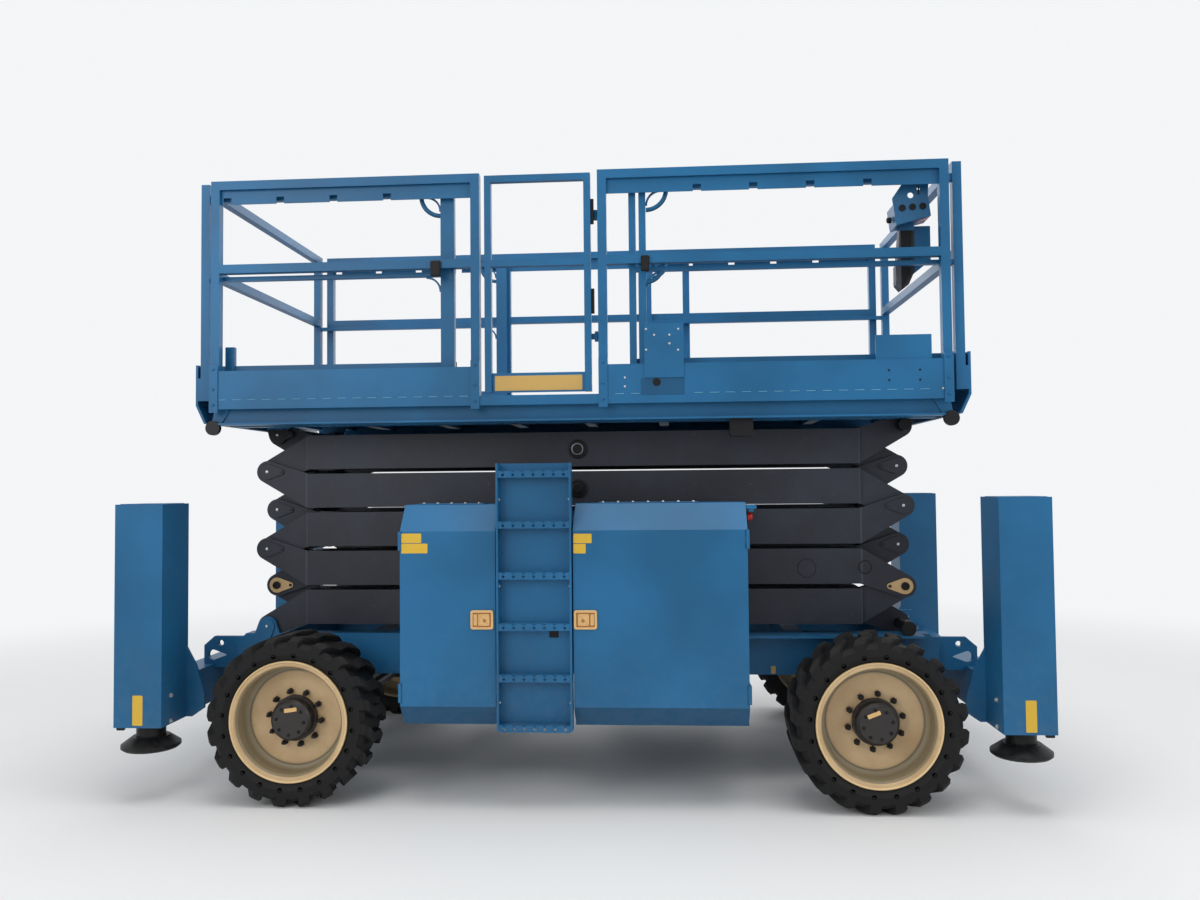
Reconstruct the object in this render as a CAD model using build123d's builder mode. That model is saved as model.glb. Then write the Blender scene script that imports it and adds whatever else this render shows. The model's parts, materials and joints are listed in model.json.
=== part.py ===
from build123d import *
from math import cos, hypot, radians, sin
import os

os.makedirs("parts", exist_ok=True)

# Rough-terrain scissor lift, stowed. Millimetres, X along the machine, Y across it, Z up.
# The origin lies on the ground under the middle of the machine. The near side, with the ladder
# and the gate, faces -Y.

# Clearances used all over the machine
seat = 0.3                      # flat faces of bodies that slide or rest on each other
running = 0.05                  # radial play of a pin or shaft in its bore
side_gap = 6.0                  # beside plates that turn against each other

# Wheels
wheelbase = 2860.0
axle_shift = 35.0               # the wheels' middle lies this far towards +X of the frame's
tyre_radius = 416.0
tyre_width = 305.0
tyre_outer_y = 1145.0
shoulder_radius = 395.0         # lugs fall away to this at the tyre's sides
shoulder_width = 25.0
lug_height = 30.0
lugs_per_side = 20
lug_width = 52.0
lug_slant = 24.0                # degrees
rim_radius = 299.0
rim_wall = 14.0
rim_edge_inset = 15.0           # rim edge inside the tyre's side
rim_lip = 24.0                  # flat ring round the rim's mouth
rim_cone = 20.0
rim_barrel_radius = 262.0
rim_disc_depth = 115.0          # disc behind the rim edge
rim_disc = 18.0
rim_disc_round = 27.0
spindle_radius = 60.0
hub_radius = 112.0
hub_reach = 88.0                # hub stands this far out of the disc

# Axles and steering
axle_beam = 170.0
axle_half = 640.0
drive_radius = 150.0            # wheel drive housing inside the rim
kingpin_inset = 360.0           # kingpin axis inside the tyre's outer side
kingpin_radius = 25.0
knuckle_radius = 52.0
knuckle_half_height = 85.0
ear = 32.0                      # thickness of the axle's ears over and under the knuckle
ear_radius = 40.0
steer_arm = 190.0
steer_arm_thickness = 24.0
tie_rod_radius = 19.0
tie_rod_rise = 36.0             # over the wheel centre
ball_radius = 30.0
ball_pin_radius = 12.0

# Frame
frame_overhang = 168.0          # side beams beyond the end pins of the scissor
frame_top = 775.0
frame_depth = 215.0
frame_beam = 100.0              # width of each side beam
frame_corner = 50.0
cross_member = 100.0
cross_member_inset = 120.0      # outermost cross member from the end of the frame
cross_member_drop = 35.0        # below the top of the side beams
cross_pairs = 3                 # cross members each side of the middle one
saddle_half = 110.0             # half length of an axle's seat under a side beam
track_flange = 12.0             # plate that carries the lower rollers
track_width = 90.0
track_start = -110.0
track_end_inset = 90.0
bracket_inset = 90.0            # cabinet brackets from the ends of each cabinet
bracket_width = 60.0
bracket_height = 90.0

# Tie-down plates at the frame's ends
tie_plate = 25.0
tie_plate_inset = 30.0          # from the inner side of the side beam
tie_plate_reach = 58.0          # over the cross beam of the outriggers
tie_plate_top = 752.0
tie_hole_back = 37.0            # small hole, from the outriggers' inner face
tie_hole_z = 715.0
tie_hole_radius = 16.0
hook_hole_reach = 7.0           # large hole, beyond the outriggers' inner face
hook_hole_z = 650.0
hook_hole_radius = 28.0
hook_hole_tip = 72.0            # point of the large hole from its centre

# Outriggers
outrigger_end = 2275.0
outrigger_side = 1145.0
outrigger_width = 245.0
outrigger_depth = 270.0
outrigger_top = 1491.0
outrigger_bottom = 385.0
outrigger_wall = 12.0
guide_plate = 40.0
leg_radius = 70.0
leg_top = 1350.0
foot_radius = 142.0
foot_bottom = 256.0
foot_edge = 26.0
foot_height = 64.0
cross_beam_width = 150.0
cross_beam_top = 600.0
cross_beam_depth = 200.0
gusset = 16.0

# Cabinets on both sides
cabinet_side = 1130.0
cabinet_back = 720.0
cabinet_top = 1475.0
cabinet_bottom = 395.0
cabinet_wall = 20.0
door_skin = 30.0
door_frame = 35.0               # rim of the body left round the door opening
top_slope = (105.0, 128.0)      # inwards, down
bottom_slope = (80.0, 102.0)    # inwards, up
cabinet_gap = 6.0               # between ladder and cabinets
cabinet_left_end = -834.0
cabinet_right_end = 861.0
door_hinge_levels = (560.0, 1300.0)
hinge_radius = 9.0
hinge_pin_radius = 5.0
hinge_leaf = 30.0               # height of one hinge segment
battery_height = 620.0
battery_margin = 90.0

# Ladder
ladder_left = -355.0
ladder_right = 13.0
ladder_top = 1676.0
ladder_bottom = 385.0
ladder_rail = (10.0, 60.0)      # thickness, depth
ladder_sheet = 6.0
rung_height = 34.0
rung_depth = 55.0
rung_wall = 6.0
rung_tops = (1640.0, 1393.0, 1146.0, 899.0, 652.0, 412.0)
rung_holes = 7
rung_hole_radius = 7.0

# Scissor stack
levels = 5
end_pin_x = 1712.0
base_pin_z = 812.5
pitch = 210.8                   # height of one level when stowed
beam_end_x = 1493.0
arm_height = 185.0
arm_width = 100.0
outer_lane = 570.0
inner_lane = 430.0
plate = 18.0                    # fork plates at the ends of an arm
nose_radius = 60.0
lug_radius = 52.0               # scissor lugs on the frame and under the deck
pin_radius = 30.0
centre_pin_radius = 32.5
pin_head = 8.0
head_radius = 42.0
keeper_reach = 78.0             # keeper plate's small end from its pin
keeper_radius = 15.0
cross_tube_radius = 45.0
roller_pin_radius = 24.0
roller_lane = (632.0, 700.0)

# Lift cylinders, one in levels 1 and 2 and one in levels 3 and 4
base_eye_x = -1340.0
base_eye_drop = 55.0            # below the arm's middle line
base_tube = (-108.0, -10.0)     # cross tube from the base eye
rod_eye_x = -330.0
rod_eye_rise = 62.0             # above the arm's middle line
rod_tube = (115.0, 0.0)
barrel_radius = 75.0
barrel_bore = 60.0
barrel_neck = 115.0             # from the base eye to the barrel's full width
barrel_end_gap = 92.0           # from the barrel's end to the rod's eye when stowed
barrel_head = 60.0
barrel_floor = 25.0
piston = 60.0
piston_gap = 5.0
rod_radius = 40.0
eye_radius = 48.0
eye_width = 90.0
eye_neck = 72.0                 # height of the barrel's neck
eye_pin_radius = 28.0
cylinder_lug = 20.0

# Platform
deck_overhang = 193.0           # beyond the end pins of the scissor
deck_side = 915.0
toe_top = 2180.0
deck_floor = 2030.0
panel_bottom = 1980.0
panel = 8.0
deck_beam_bottom = 1898.5
deck_beam = (625.0, 720.0)
deck_web = (55.0, 70.0)         # recessed web behind the panel, from the deck's side
deck_flange = (15.0, 110.0)
deck_flange_thickness = 10.0
deck_cross_bottom = 1950.0
deck_cross_members = 9
deck_cross_width = 60.0
floor_plate = 10.0
deck_roller_radius = 38.0
deck_roller_z = 1884.0
outlet_plate = (371.0, 570.0, 2107.0, 2381.0)       # x from, x to, z from, z to
kick_plate = (1526.0, 1801.0, 2060.0, 2303.0)

# Guard rails
rail_tube = 46.0
rail_top = 3185.0
mid_rail_top = 2742.0
post_inset = 25.0               # end posts from the deck's ends
far_post_x = 620.0
post_foot = (1962.0, 2212.0)    # plate over the panel under each post
post_foot_thickness = 6.0
notch_strip = (3065.0, 6.0)     # bottom, thickness
notch = (42.0, 36.0)
notch_starts = (-1823.0, 648.0)
notch_pitch = 286.0
notches = 4

# Gate
gate_opening = (-475.0, 137.0)
gate_tube = 35.0
gate_play = (25.0, 36.0)        # to the posts, left and right
gate_hinge_gap = 12.0           # hinge axis from the right post
gate_hinge_levels = (2330.0, 2960.0)
gate_hinge_radius = 9.0
gate_pin_radius = 6.0
gate_top = 3173.0
gate_bottom = 2046.0
gate_toe_top = 2147.0

# Extension decks
ext_floor_half = 800.0
ext_floor = 18.0
ext_toe = 6.0
ext_toe_top = 2220.0
ext_end_reach = 100.0           # end plate beyond the main deck
ext_end_plate = 12.0
ext_end_knee = 2005.0           # the end plate bends inwards below this
ext_end_bottom = 1909.0
ext_end_bend = 45.0
ext_post_reach = 51.0           # end frame's middle beyond the main deck
ext_tube = 36.0
ext_tube_gap = 9.0
ext_top_rail = 3126.0
ext_mid_rail = (2666.0, 2688.0)
ext_inner = {"left": -618.0, "right": 295.0}
brace_radius = 80.0
brace_thickness = 10.0

# Derived places
frame_half = end_pin_x + frame_overhang
deck_half = end_pin_x + deck_overhang
ext_end_x = deck_half + ext_end_reach
ext_end_rail_x = deck_half + ext_post_reach
wheel_x = {"left": axle_shift - wheelbase / 2, "right": axle_shift + wheelbase / 2}
sides = {"near": -1, "far": 1}
ends = {"left": -1, "right": 1}
kingpin_y = tyre_outer_y - kingpin_inset
frame_y = (outer_lane - arm_width / 2, outer_lane - arm_width / 2 + frame_beam)
frame_bottom = frame_top - frame_depth
fork_gap = arm_width / 2 - plate
tongue_half = fork_gap - side_gap
post_y = deck_side - panel - rail_tube / 2
post_half = rail_tube / 2
ext_post_y = post_y - post_half - ext_tube_gap - ext_tube / 2
outrigger_inner_x = outrigger_end - outrigger_width
outrigger_inner_y = outrigger_side - outrigger_depth
leg_x = outrigger_end - outrigger_width / 2
leg_y = outrigger_side - outrigger_depth / 2
lower_roller_radius = base_pin_z - frame_top - seat
upper_roller_radius = deck_beam_bottom - (base_pin_z + levels * pitch) - seat
cabinet_spans = {
    "left": (cabinet_left_end, ladder_left - cabinet_gap),
    "right": (ladder_right + cabinet_gap, cabinet_right_end),
}


def block(x, y, z, mode=Mode.ADD):
    # A box between two corners, each axis as a (low, high) pair in either order
    with Locations(((x[0] + x[1]) / 2, (y[0] + y[1]) / 2, (z[0] + z[1]) / 2)):
        Box(abs(x[1] - x[0]), abs(y[1] - y[0]), abs(z[1] - z[0]), mode=mode)


def shaft(x, z, radius, y, mode=Mode.ADD):
    # A cylinder across the machine between two Y values
    with Locations((x, (y[0] + y[1]) / 2, z)):
        Cylinder(radius, abs(y[1] - y[0]), rotation=(90, 0, 0), mode=mode)


def upright(x, y, radius, z, mode=Mode.ADD):
    # A standing cylinder between two heights
    with Locations((x, y, (z[0] + z[1]) / 2)):
        Cylinder(radius, abs(z[1] - z[0]), mode=mode)


def side_plane(y):
    # Drawn as seen from the near side: local x is X, local y is Z; extrudes towards -Y
    return Plane(origin=(0, y, 0), x_dir=(1, 0, 0), z_dir=(0, -1, 0))


def end_plane(x):
    # Local x is Y, local y is Z; extrudes towards +X
    return Plane(origin=(x, 0, 0), x_dir=(0, 1, 0), z_dir=(1, 0, 0))


def side_plate(points, y, mode=Mode.ADD):
    # A plate with the given X and Z corners between two Y values
    with BuildSketch(side_plane(max(y))) as outline:
        Polygon(*points, align=None)
    extrude(outline.sketch, amount=abs(y[1] - y[0]), mode=mode)


def side_link(ends_of_link, y, mode=Mode.ADD):
    # A plate round a list of (x, z, radius) circles between two Y values
    with BuildSketch(side_plane(max(y))) as outline:
        for x, z, radius in ends_of_link:
            with Locations((x, z)):
                Circle(radius)
        make_hull()
    extrude(outline.sketch, amount=abs(y[1] - y[0]), mode=mode)


def span(a, b):
    return (min(a, b), max(a, b))


def mirrored(side, low, high):
    # A (low, high) pair of distances from the middle plane, on one side of the machine
    return span(side * low, side * high)


def about(middle, half):
    return (middle - half, middle + half)


def save(part, name):
    part.label = name
    export_step(part, f"parts/{name}.step")


# Wheels

tyre_middle_y = tyre_outer_y - tyre_width / 2
rim_edge_y = tyre_outer_y - rim_edge_inset
rim_back_y = tyre_outer_y - tyre_width + rim_edge_inset
disc_face_y = rim_edge_y - rim_disc_depth
disc_back_y = disc_face_y - rim_disc
tread_base = tyre_radius - lug_height

wheel_axis = Axis((0, 0, tyre_radius), (0, 1, 0))
across = Plane(origin=(0, 0, tyre_radius), x_dir=(0, 1, 0), z_dir=(-1, 0, 0))
half = tyre_width / 2
lug_half = tyre_width / 4
lug_root = lug_height           # depth of a lug inside the carcass
tread_chamfer = 22.0
bead_chamfer = 30.0

# One lug: slanted near the middle of the tread, straight over the shoulder
with BuildPart() as lug:
    lean = lug_half * sin(radians(lug_slant))
    knee = lug_half * 0.3
    with BuildSketch(Plane(origin=(0, 0, tread_base - lug_root), x_dir=(0, 1, 0), z_dir=(0, 0, 1))):
        Polygon(
            (-lug_half, -lug_width / 2 - lean),
            (knee, -lug_width / 2 + lean),
            (lug_half, -lug_width / 2 + lean),
            (lug_half, lug_width / 2 + lean),
            (knee, lug_width / 2 + lean),
            (-lug_half, lug_width / 2 - lean),
            align=None,
        )
    extrude(amount=lug_height + lug_root)

# The wheel is made for the far side, at the middle of the machine, and then placed four times
with BuildPart() as tyre:
    with BuildSketch(across):
        with BuildLine():
            Polyline(
                (tyre_middle_y - half + tread_chamfer, rim_radius),
                (tyre_middle_y - half, rim_radius + bead_chamfer),
                (tyre_middle_y - half, tread_base - tread_chamfer),
                (tyre_middle_y - half + tread_chamfer, tread_base),
                (tyre_middle_y + half - tread_chamfer, tread_base),
                (tyre_middle_y + half, tread_base - tread_chamfer),
                (tyre_middle_y + half, rim_radius + bead_chamfer),
                (tyre_middle_y + half - tread_chamfer, rim_radius),
                close=True,
            )
        make_face()
    revolve(axis=wheel_axis)
    step = 360 / lugs_per_side
    places = []
    for row in (-1, 1):
        for i in range(lugs_per_side):
            turn = 180 + step * (i + (0.5 if row > 0 else 0))
            flip = Location((0, 0, 0), (0, 0, 180 if row > 0 else 0))
            places.append(
                Location((0, tyre_middle_y + row * lug_half, tyre_radius), (0, turn, 0)) * flip
            )
    with Locations(*places):
        add(lug.part)
    # Round tread with sloping shoulders
    with BuildSketch(across):
        Polygon(
            (tyre_middle_y - half, 0),
            (tyre_middle_y - half, shoulder_radius),
            (tyre_middle_y - half + shoulder_width, tyre_radius),
            (tyre_middle_y + half - shoulder_width, tyre_radius),
            (tyre_middle_y + half, shoulder_radius),
            (tyre_middle_y + half, 0),
            align=None,
        )
    revolve(axis=wheel_axis, mode=Mode.INTERSECT)

hub_step = 30.0
hub_chamfer = 12.0
with BuildPart() as rim:
    seat_radius = rim_radius - seat
    inner_radius = seat_radius - rim_wall
    with BuildSketch(across):
        with BuildLine():
            Polyline(
                (rim_back_y, seat_radius),
                (rim_edge_y, seat_radius),
                (rim_edge_y, seat_radius - rim_lip),
                (rim_edge_y - rim_cone, rim_barrel_radius),
                (disc_face_y, rim_barrel_radius),
                (disc_face_y, hub_radius),
                (disc_face_y + hub_step, hub_radius),
                (disc_face_y + hub_step, hub_radius - hub_chamfer),
                (disc_face_y + hub_reach - hub_chamfer, hub_radius - hub_chamfer),
                (disc_face_y + hub_reach, hub_radius - 2 * hub_chamfer),
                (disc_face_y + hub_reach, 0),
                (disc_face_y + hub_step, 0),
                (disc_face_y + hub_step, spindle_radius + running),
                (disc_back_y, spindle_radius + running),
                (disc_back_y, inner_radius),
                (rim_back_y, inner_radius),
                close=True,
            )
        make_face()
        corner = (disc_face_y, rim_barrel_radius, 0)
        fillet(vertices().sort_by_distance(corner)[0], rim_disc_round)
    revolve(axis=wheel_axis)

for end, x in wheel_x.items():
    for side_name, side in sides.items():
        for name, piece in (("tyre", tyre), ("rim", rim)):
            with BuildPart() as placed:
                with Locations((x, 0, 0)):
                    add(piece.part if side > 0 else piece.part.mirror(Plane.XZ))
            save(placed.part, f"{name}_{side_name}_{end}")

# Axles, knuckles and tie rod. The left axle steers, the right axle is fixed.

hub_inner_y = disc_back_y - side_gap
spindle_end_y = disc_face_y + hub_step - 5
beam_z = about(tyre_radius, axle_beam / 2)
axle_tube_start = frame_y[1] + 4
axle_tube_radius = axle_beam / 2 + 20
drive_start = axle_half + 90
with BuildPart() as fixed_axle:
    x = wheel_x["right"]
    block(about(x, axle_beam / 2), (-axle_half, axle_half), beam_z)
    for side in sides.values():
        shaft(x, tyre_radius, axle_tube_radius, mirrored(side, axle_tube_start, drive_start + 10))
        shaft(x, tyre_radius, drive_radius, mirrored(side, drive_start, hub_inner_y))
        shaft(x, tyre_radius, spindle_radius, mirrored(side, axle_half, spindle_end_y))
save(fixed_axle.part, "fixed_axle")

x = wheel_x["left"]
ear_half = knuckle_half_height + ear
knuckle_y = kingpin_y + knuckle_radius
yoke_half = 80.0
with BuildPart() as steer_axle:
    block(about(x, axle_beam / 2), (-axle_half, axle_half), beam_z)
    for side in sides.values():
        for top in (-1, 1):
            z = span(tyre_radius + top * (knuckle_half_height + 1), tyre_radius + top * ear_half)
            block(about(x, ear_radius), mirrored(side, axle_tube_start, kingpin_y), z)
            upright(x, side * kingpin_y, ear_radius, z)
        block(about(x, yoke_half), mirrored(side, axle_tube_start, axle_half + ear),
              about(tyre_radius, ear_half))
        upright(x, side * kingpin_y, kingpin_radius, about(tyre_radius, ear_half))
save(steer_axle.part, "steer_axle")

tie_x = x + steer_arm
rod_z = tyre_radius + tie_rod_rise
arm_z = about(tyre_radius, steer_arm_thickness / 2)
ball_half = 20.0
for side_name, side in sides.items():
    with BuildPart() as knuckle:
        upright(x, side * kingpin_y, knuckle_radius, about(tyre_radius, knuckle_half_height))
        block(about(x, knuckle_radius), mirrored(side, kingpin_y, knuckle_y + 30),
              about(tyre_radius, knuckle_half_height))
        shaft(x, tyre_radius, drive_radius - 5, mirrored(side, knuckle_y + 10, hub_inner_y))
        shaft(x, tyre_radius, spindle_radius, mirrored(side, knuckle_y, spindle_end_y))
        with BuildSketch(Plane.XY.offset(arm_z[0])):
            with Locations((tie_x, side * kingpin_y)):
                Circle(ball_radius)
            with Locations((x, side * kingpin_y)):
                Circle(knuckle_radius - 7)
            make_hull()
        extrude(amount=steer_arm_thickness)
        upright(x, side * kingpin_y, kingpin_radius + running,
                (0, 2 * tyre_radius), Mode.SUBTRACT)
        upright(tie_x, side * kingpin_y, ball_pin_radius, (arm_z[1] - 2, rod_z + ball_half + 2))
    save(knuckle.part, f"knuckle_{side_name}")

with BuildPart() as tie_rod:
    shaft(tie_x, rod_z, tie_rod_radius, (-kingpin_y, kingpin_y))
    for side in sides.values():
        upright(tie_x, side * kingpin_y, ball_radius, about(rod_z, ball_half))
        upright(tie_x, side * kingpin_y, ball_pin_radius + running, about(rod_z, 2 * ball_half),
                Mode.SUBTRACT)
save(tie_rod.part, "tie_rod")

# Frame: two side beams, cross members, axle saddles, scissor lugs and tie-down plates

axle_top = tyre_radius + axle_beam / 2
cross_pitch = (frame_half - cross_member_inset) / cross_pairs
bracket_low = frame_bottom + 40
with BuildPart() as frame:
    for side in sides.values():
        side_plate(
            (
                (-frame_half, frame_top - frame_corner), (-frame_half + frame_corner, frame_top),
                (frame_half - frame_corner, frame_top), (frame_half, frame_top - frame_corner),
                (frame_half, frame_bottom + frame_corner), (frame_half - frame_corner, frame_bottom),
                (-frame_half + frame_corner, frame_bottom), (-frame_half, frame_bottom + frame_corner),
            ),
            mirrored(side, *frame_y),
        )
        for x in wheel_x.values():
            block(about(x, saddle_half), mirrored(side, *frame_y), (axle_top, frame_bottom + 10))
        # Pocket for the lowest arm's end, with a lug beside it
        block((-end_pin_x - nose_radius - 2 * side_gap, -end_pin_x + 2 * nose_radius),
              mirrored(side, frame_y[0] - 1, outer_lane + fork_gap),
              (base_pin_z - nose_radius - 2 * side_gap, frame_top + 1), Mode.SUBTRACT)
        lug_y = mirrored(side, outer_lane + fork_gap, outer_lane + arm_width / 2)
        side_link(
            (
                (-end_pin_x, base_pin_z, lug_radius),
                (-end_pin_x - nose_radius, frame_top - lug_radius, lug_radius / 2),
                (-end_pin_x + nose_radius, frame_top - lug_radius, lug_radius / 2),
            ),
            lug_y,
        )
        shaft(-end_pin_x, base_pin_z, pin_radius, mirrored(side, *about(outer_lane, arm_width / 2)))
        side_link(
            (
                (-end_pin_x, base_pin_z, head_radius),
                (-end_pin_x, base_pin_z - keeper_reach, keeper_radius),
            ),
            mirrored(side, outer_lane + arm_width / 2, outer_lane + arm_width / 2 + pin_head),
        )
        for ends_of_cabinet in cabinet_spans.values():
            for x in (ends_of_cabinet[0] + bracket_inset, ends_of_cabinet[1] - bracket_inset):
                block(about(x, bracket_width / 2), mirrored(side, frame_y[1] - 5, cabinet_back),
                      (bracket_low, bracket_low + bracket_height))
    for i in range(-cross_pairs, cross_pairs + 1):
        block(about(i * cross_pitch, cross_member / 2), (-frame_y[0] - 5, frame_y[0] + 5),
              (frame_bottom + 20, frame_top - cross_member_drop))
    for end in ends.values():
        inner = outrigger_inner_x
        root = frame_half - frame_corner
        for side in sides.values():
            plate_low = frame_y[0] + tie_plate_inset
            plate_y = mirrored(side, plate_low, plate_low + tie_plate)
            side_plate(
                (
                    (end * root, frame_bottom + 20),
                    (end * inner, frame_bottom + 20),
                    (end * inner, cross_beam_top),
                    (end * (inner + tie_plate_reach), cross_beam_top),
                    (end * (inner + tie_plate_reach), tie_plate_top - frame_corner),
                    (end * inner, tie_plate_top),
                    (end * root, tie_plate_top),
                ),
                plate_y,
            )
            shaft(end * (inner - tie_hole_back), tie_hole_z, tie_hole_radius, plate_y, Mode.SUBTRACT)
            hook_x = inner + hook_hole_reach
            side_link(
                (
                    (end * hook_x, hook_hole_z, hook_hole_radius),
                    (end * (hook_x - hook_hole_tip), hook_hole_z, 3),
                ),
                plate_y, Mode.SUBTRACT,
            )
save(frame.part, "frame")

with BuildPart() as roller_tracks:
    for side in sides.values():
        block((track_start, frame_half - track_end_inset),
              mirrored(side, frame_y[1], frame_y[1] + track_width),
              (frame_top - track_flange, frame_top))
save(roller_tracks.part, "roller_tracks")

# Outriggers: a cross beam at each end with an upright housing at each corner

gusset_outline = (              # x from the housing's inner face, height over its bottom
    (1, 361), (-51, 265), (-96, 115), (-96, 45), (-30, 0), (1, 0),
)
with BuildPart() as outriggers:
    for end in ends.values():
        block((end * outrigger_inner_x, end * (outrigger_inner_x + cross_beam_width)),
              (-outrigger_inner_y - 5, outrigger_inner_y + 5),
              (cross_beam_top - cross_beam_depth, cross_beam_top))
        for side in sides.values():
            wall = outrigger_wall
            block((end * outrigger_inner_x, end * outrigger_end),
                  mirrored(side, outrigger_inner_y, outrigger_side),
                  (outrigger_bottom, outrigger_top))
            block((end * (outrigger_inner_x + wall), end * (outrigger_end - wall)),
                  mirrored(side, outrigger_inner_y + wall, outrigger_side - wall),
                  (outrigger_bottom + guide_plate, outrigger_top - wall), Mode.SUBTRACT)
            upright(end * leg_x, side * leg_y, leg_radius + running,
                    about(outrigger_bottom, 2 * guide_plate), Mode.SUBTRACT)
            side_plate(
                [(end * (outrigger_inner_x + dx), outrigger_bottom + dz) for dx, dz in gusset_outline],
                mirrored(side, outrigger_inner_y, outrigger_inner_y + gusset),
            )
save(outriggers.part, "outriggers")

for end_name, end in ends.items():
    for side_name, side in sides.items():
        with BuildPart() as leg:
            upright(end * leg_x, side * leg_y, leg_radius, (foot_bottom + 20, leg_top))
            with BuildSketch(Plane(origin=(end * leg_x, side * leg_y, 0), x_dir=(1, 0, 0),
                                   z_dir=(0, -1, 0))):
                Polygon(
                    (0, foot_bottom), (foot_radius - foot_edge / 2, foot_bottom),
                    (foot_radius, foot_bottom + 10), (foot_radius, foot_bottom + foot_edge),
                    (leg_radius + 20, foot_bottom + foot_height),
                    (0, foot_bottom + foot_height),
                    align=None,
                )
            revolve(axis=Axis((end * leg_x, side * leg_y, 0), (0, 0, 1)))
        save(leg.part, f"leg_{side_name}_{end_name}")

# Cabinets, doors, batteries and ladder


def front_line(inset, play):
    # (y, z) from the bottom bevel's inner end over the face to the top slope's inner end, moved
    # inwards by inset; play moves its two ends back from the joint with the roof and the floor
    slope_in, slope_down = top_slope
    bevel_in, bevel_up = bottom_slope
    low = hypot(bevel_in, bevel_up) / bevel_in * inset
    high = hypot(slope_in, slope_down) / slope_in * inset
    face = cabinet_side - inset
    return [
        (cabinet_side - bevel_in - play, cabinet_bottom + low - play * bevel_up / bevel_in),
        (face, cabinet_bottom + low + bevel_up * (1 - inset / bevel_in)),
        (face, cabinet_top - high - slope_down * (1 - inset / slope_in)),
        (cabinet_side - slope_in - play, cabinet_top - high + play * slope_down / slope_in),
    ]


def cabinet_section(wall):
    # (y, z) corners of the body behind the door, or of its hollow with a wall around it
    play = seat + wall
    bottom = cabinet_bottom + wall
    top = cabinet_top - wall
    return [
        (cabinet_back + wall, bottom),
        (cabinet_side - bottom_slope[0] - play, bottom),
        *front_line(door_skin + play, play),
        (cabinet_side - top_slope[0] - play, top),
        (cabinet_back + wall, top),
    ]


def end_prism(points, side, x, mode=Mode.ADD):
    # A prism along X with (distance from the middle plane, height) corners
    with BuildSketch(end_plane(x[0])) as outline:
        Polygon(*[(side * y, z) for y, z in points], align=None)
    extrude(outline.sketch, amount=x[1] - x[0], mode=mode)


body_face = cabinet_side - door_skin - seat
hinge_half = hinge_leaf / 2
door_opening_z = (
    cabinet_bottom + bottom_slope[1] + 2 * door_frame,
    cabinet_top - top_slope[1] - 2 * door_frame,
)
for side_name, side in sides.items():
    with BuildPart() as cabinets:
        for end_name, x in cabinet_spans.items():
            end = ends[end_name]
            hinge_x = x[0] if end < 0 else x[1]
            end_prism(cabinet_section(0), side, x)
            end_prism(cabinet_section(cabinet_wall), side,
                      (x[0] + cabinet_wall, x[1] - cabinet_wall), Mode.SUBTRACT)
            block((x[0] + door_frame, x[1] - door_frame),
                  mirrored(side, body_face - 3 * cabinet_wall, body_face + 10),
                  door_opening_z, Mode.SUBTRACT)
            # Hinge leaves on the end wall, each with a segment above and below the door's
            for level in door_hinge_levels:
                for step in (-1, 1):
                    z = about(level + step * hinge_leaf, hinge_half)
                    block((hinge_x, hinge_x + end * 6),
                          mirrored(side, body_face - 2 * hinge_leaf, cabinet_side), z)
                    upright(hinge_x, side * cabinet_side, hinge_radius, z)
                upright(hinge_x, side * cabinet_side, hinge_pin_radius,
                        about(level, 3 * hinge_half))
    save(cabinets.part, f"cabinets_{side_name}")
    for end_name, x in cabinet_spans.items():
        end = ends[end_name]
        hinge_x = x[0] if end < 0 else x[1]
        with BuildPart() as door:
            end_prism([*front_line(0, 0), *reversed(front_line(door_skin, 0))], side, x)
            # The free edge is rounded about the hinge, so that it swings clear of the ladder
            upright(hinge_x, side * cabinet_side, x[1] - x[0], (cabinet_bottom - 1, cabinet_top + 1),
                    Mode.INTERSECT)
            block((hinge_x - 1, hinge_x + 1), mirrored(side, cabinet_back, cabinet_side + 1),
                  (cabinet_bottom - 1, cabinet_top + 1), Mode.SUBTRACT)
            for level in door_hinge_levels:
                upright(hinge_x, side * cabinet_side, hinge_radius + 2, about(level, 3 * hinge_half + 2),
                        Mode.SUBTRACT)
                barrel_z = about(level, hinge_half - seat)
                upright(hinge_x, side * cabinet_side, hinge_radius, barrel_z)
                block((hinge_x, hinge_x - end * 14), mirrored(side, body_face + 5, cabinet_side),
                      barrel_z)
                upright(hinge_x, side * cabinet_side, hinge_pin_radius + running,
                        about(level, 3 * hinge_half), Mode.SUBTRACT)
        save(door.part, f"door_{side_name}_{end_name}")

with BuildPart() as batteries:
    x_low, x_high = cabinet_spans["right"]
    floor_z = cabinet_bottom + cabinet_wall
    for side in sides.values():
        block((x_low + battery_margin, x_high - battery_margin),
              mirrored(side, cabinet_back + 3 * cabinet_wall,
                       cabinet_side - bottom_slope[0] - 4 * cabinet_wall),
              (floor_z, floor_z + battery_height))
save(batteries.part, "batteries")

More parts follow.
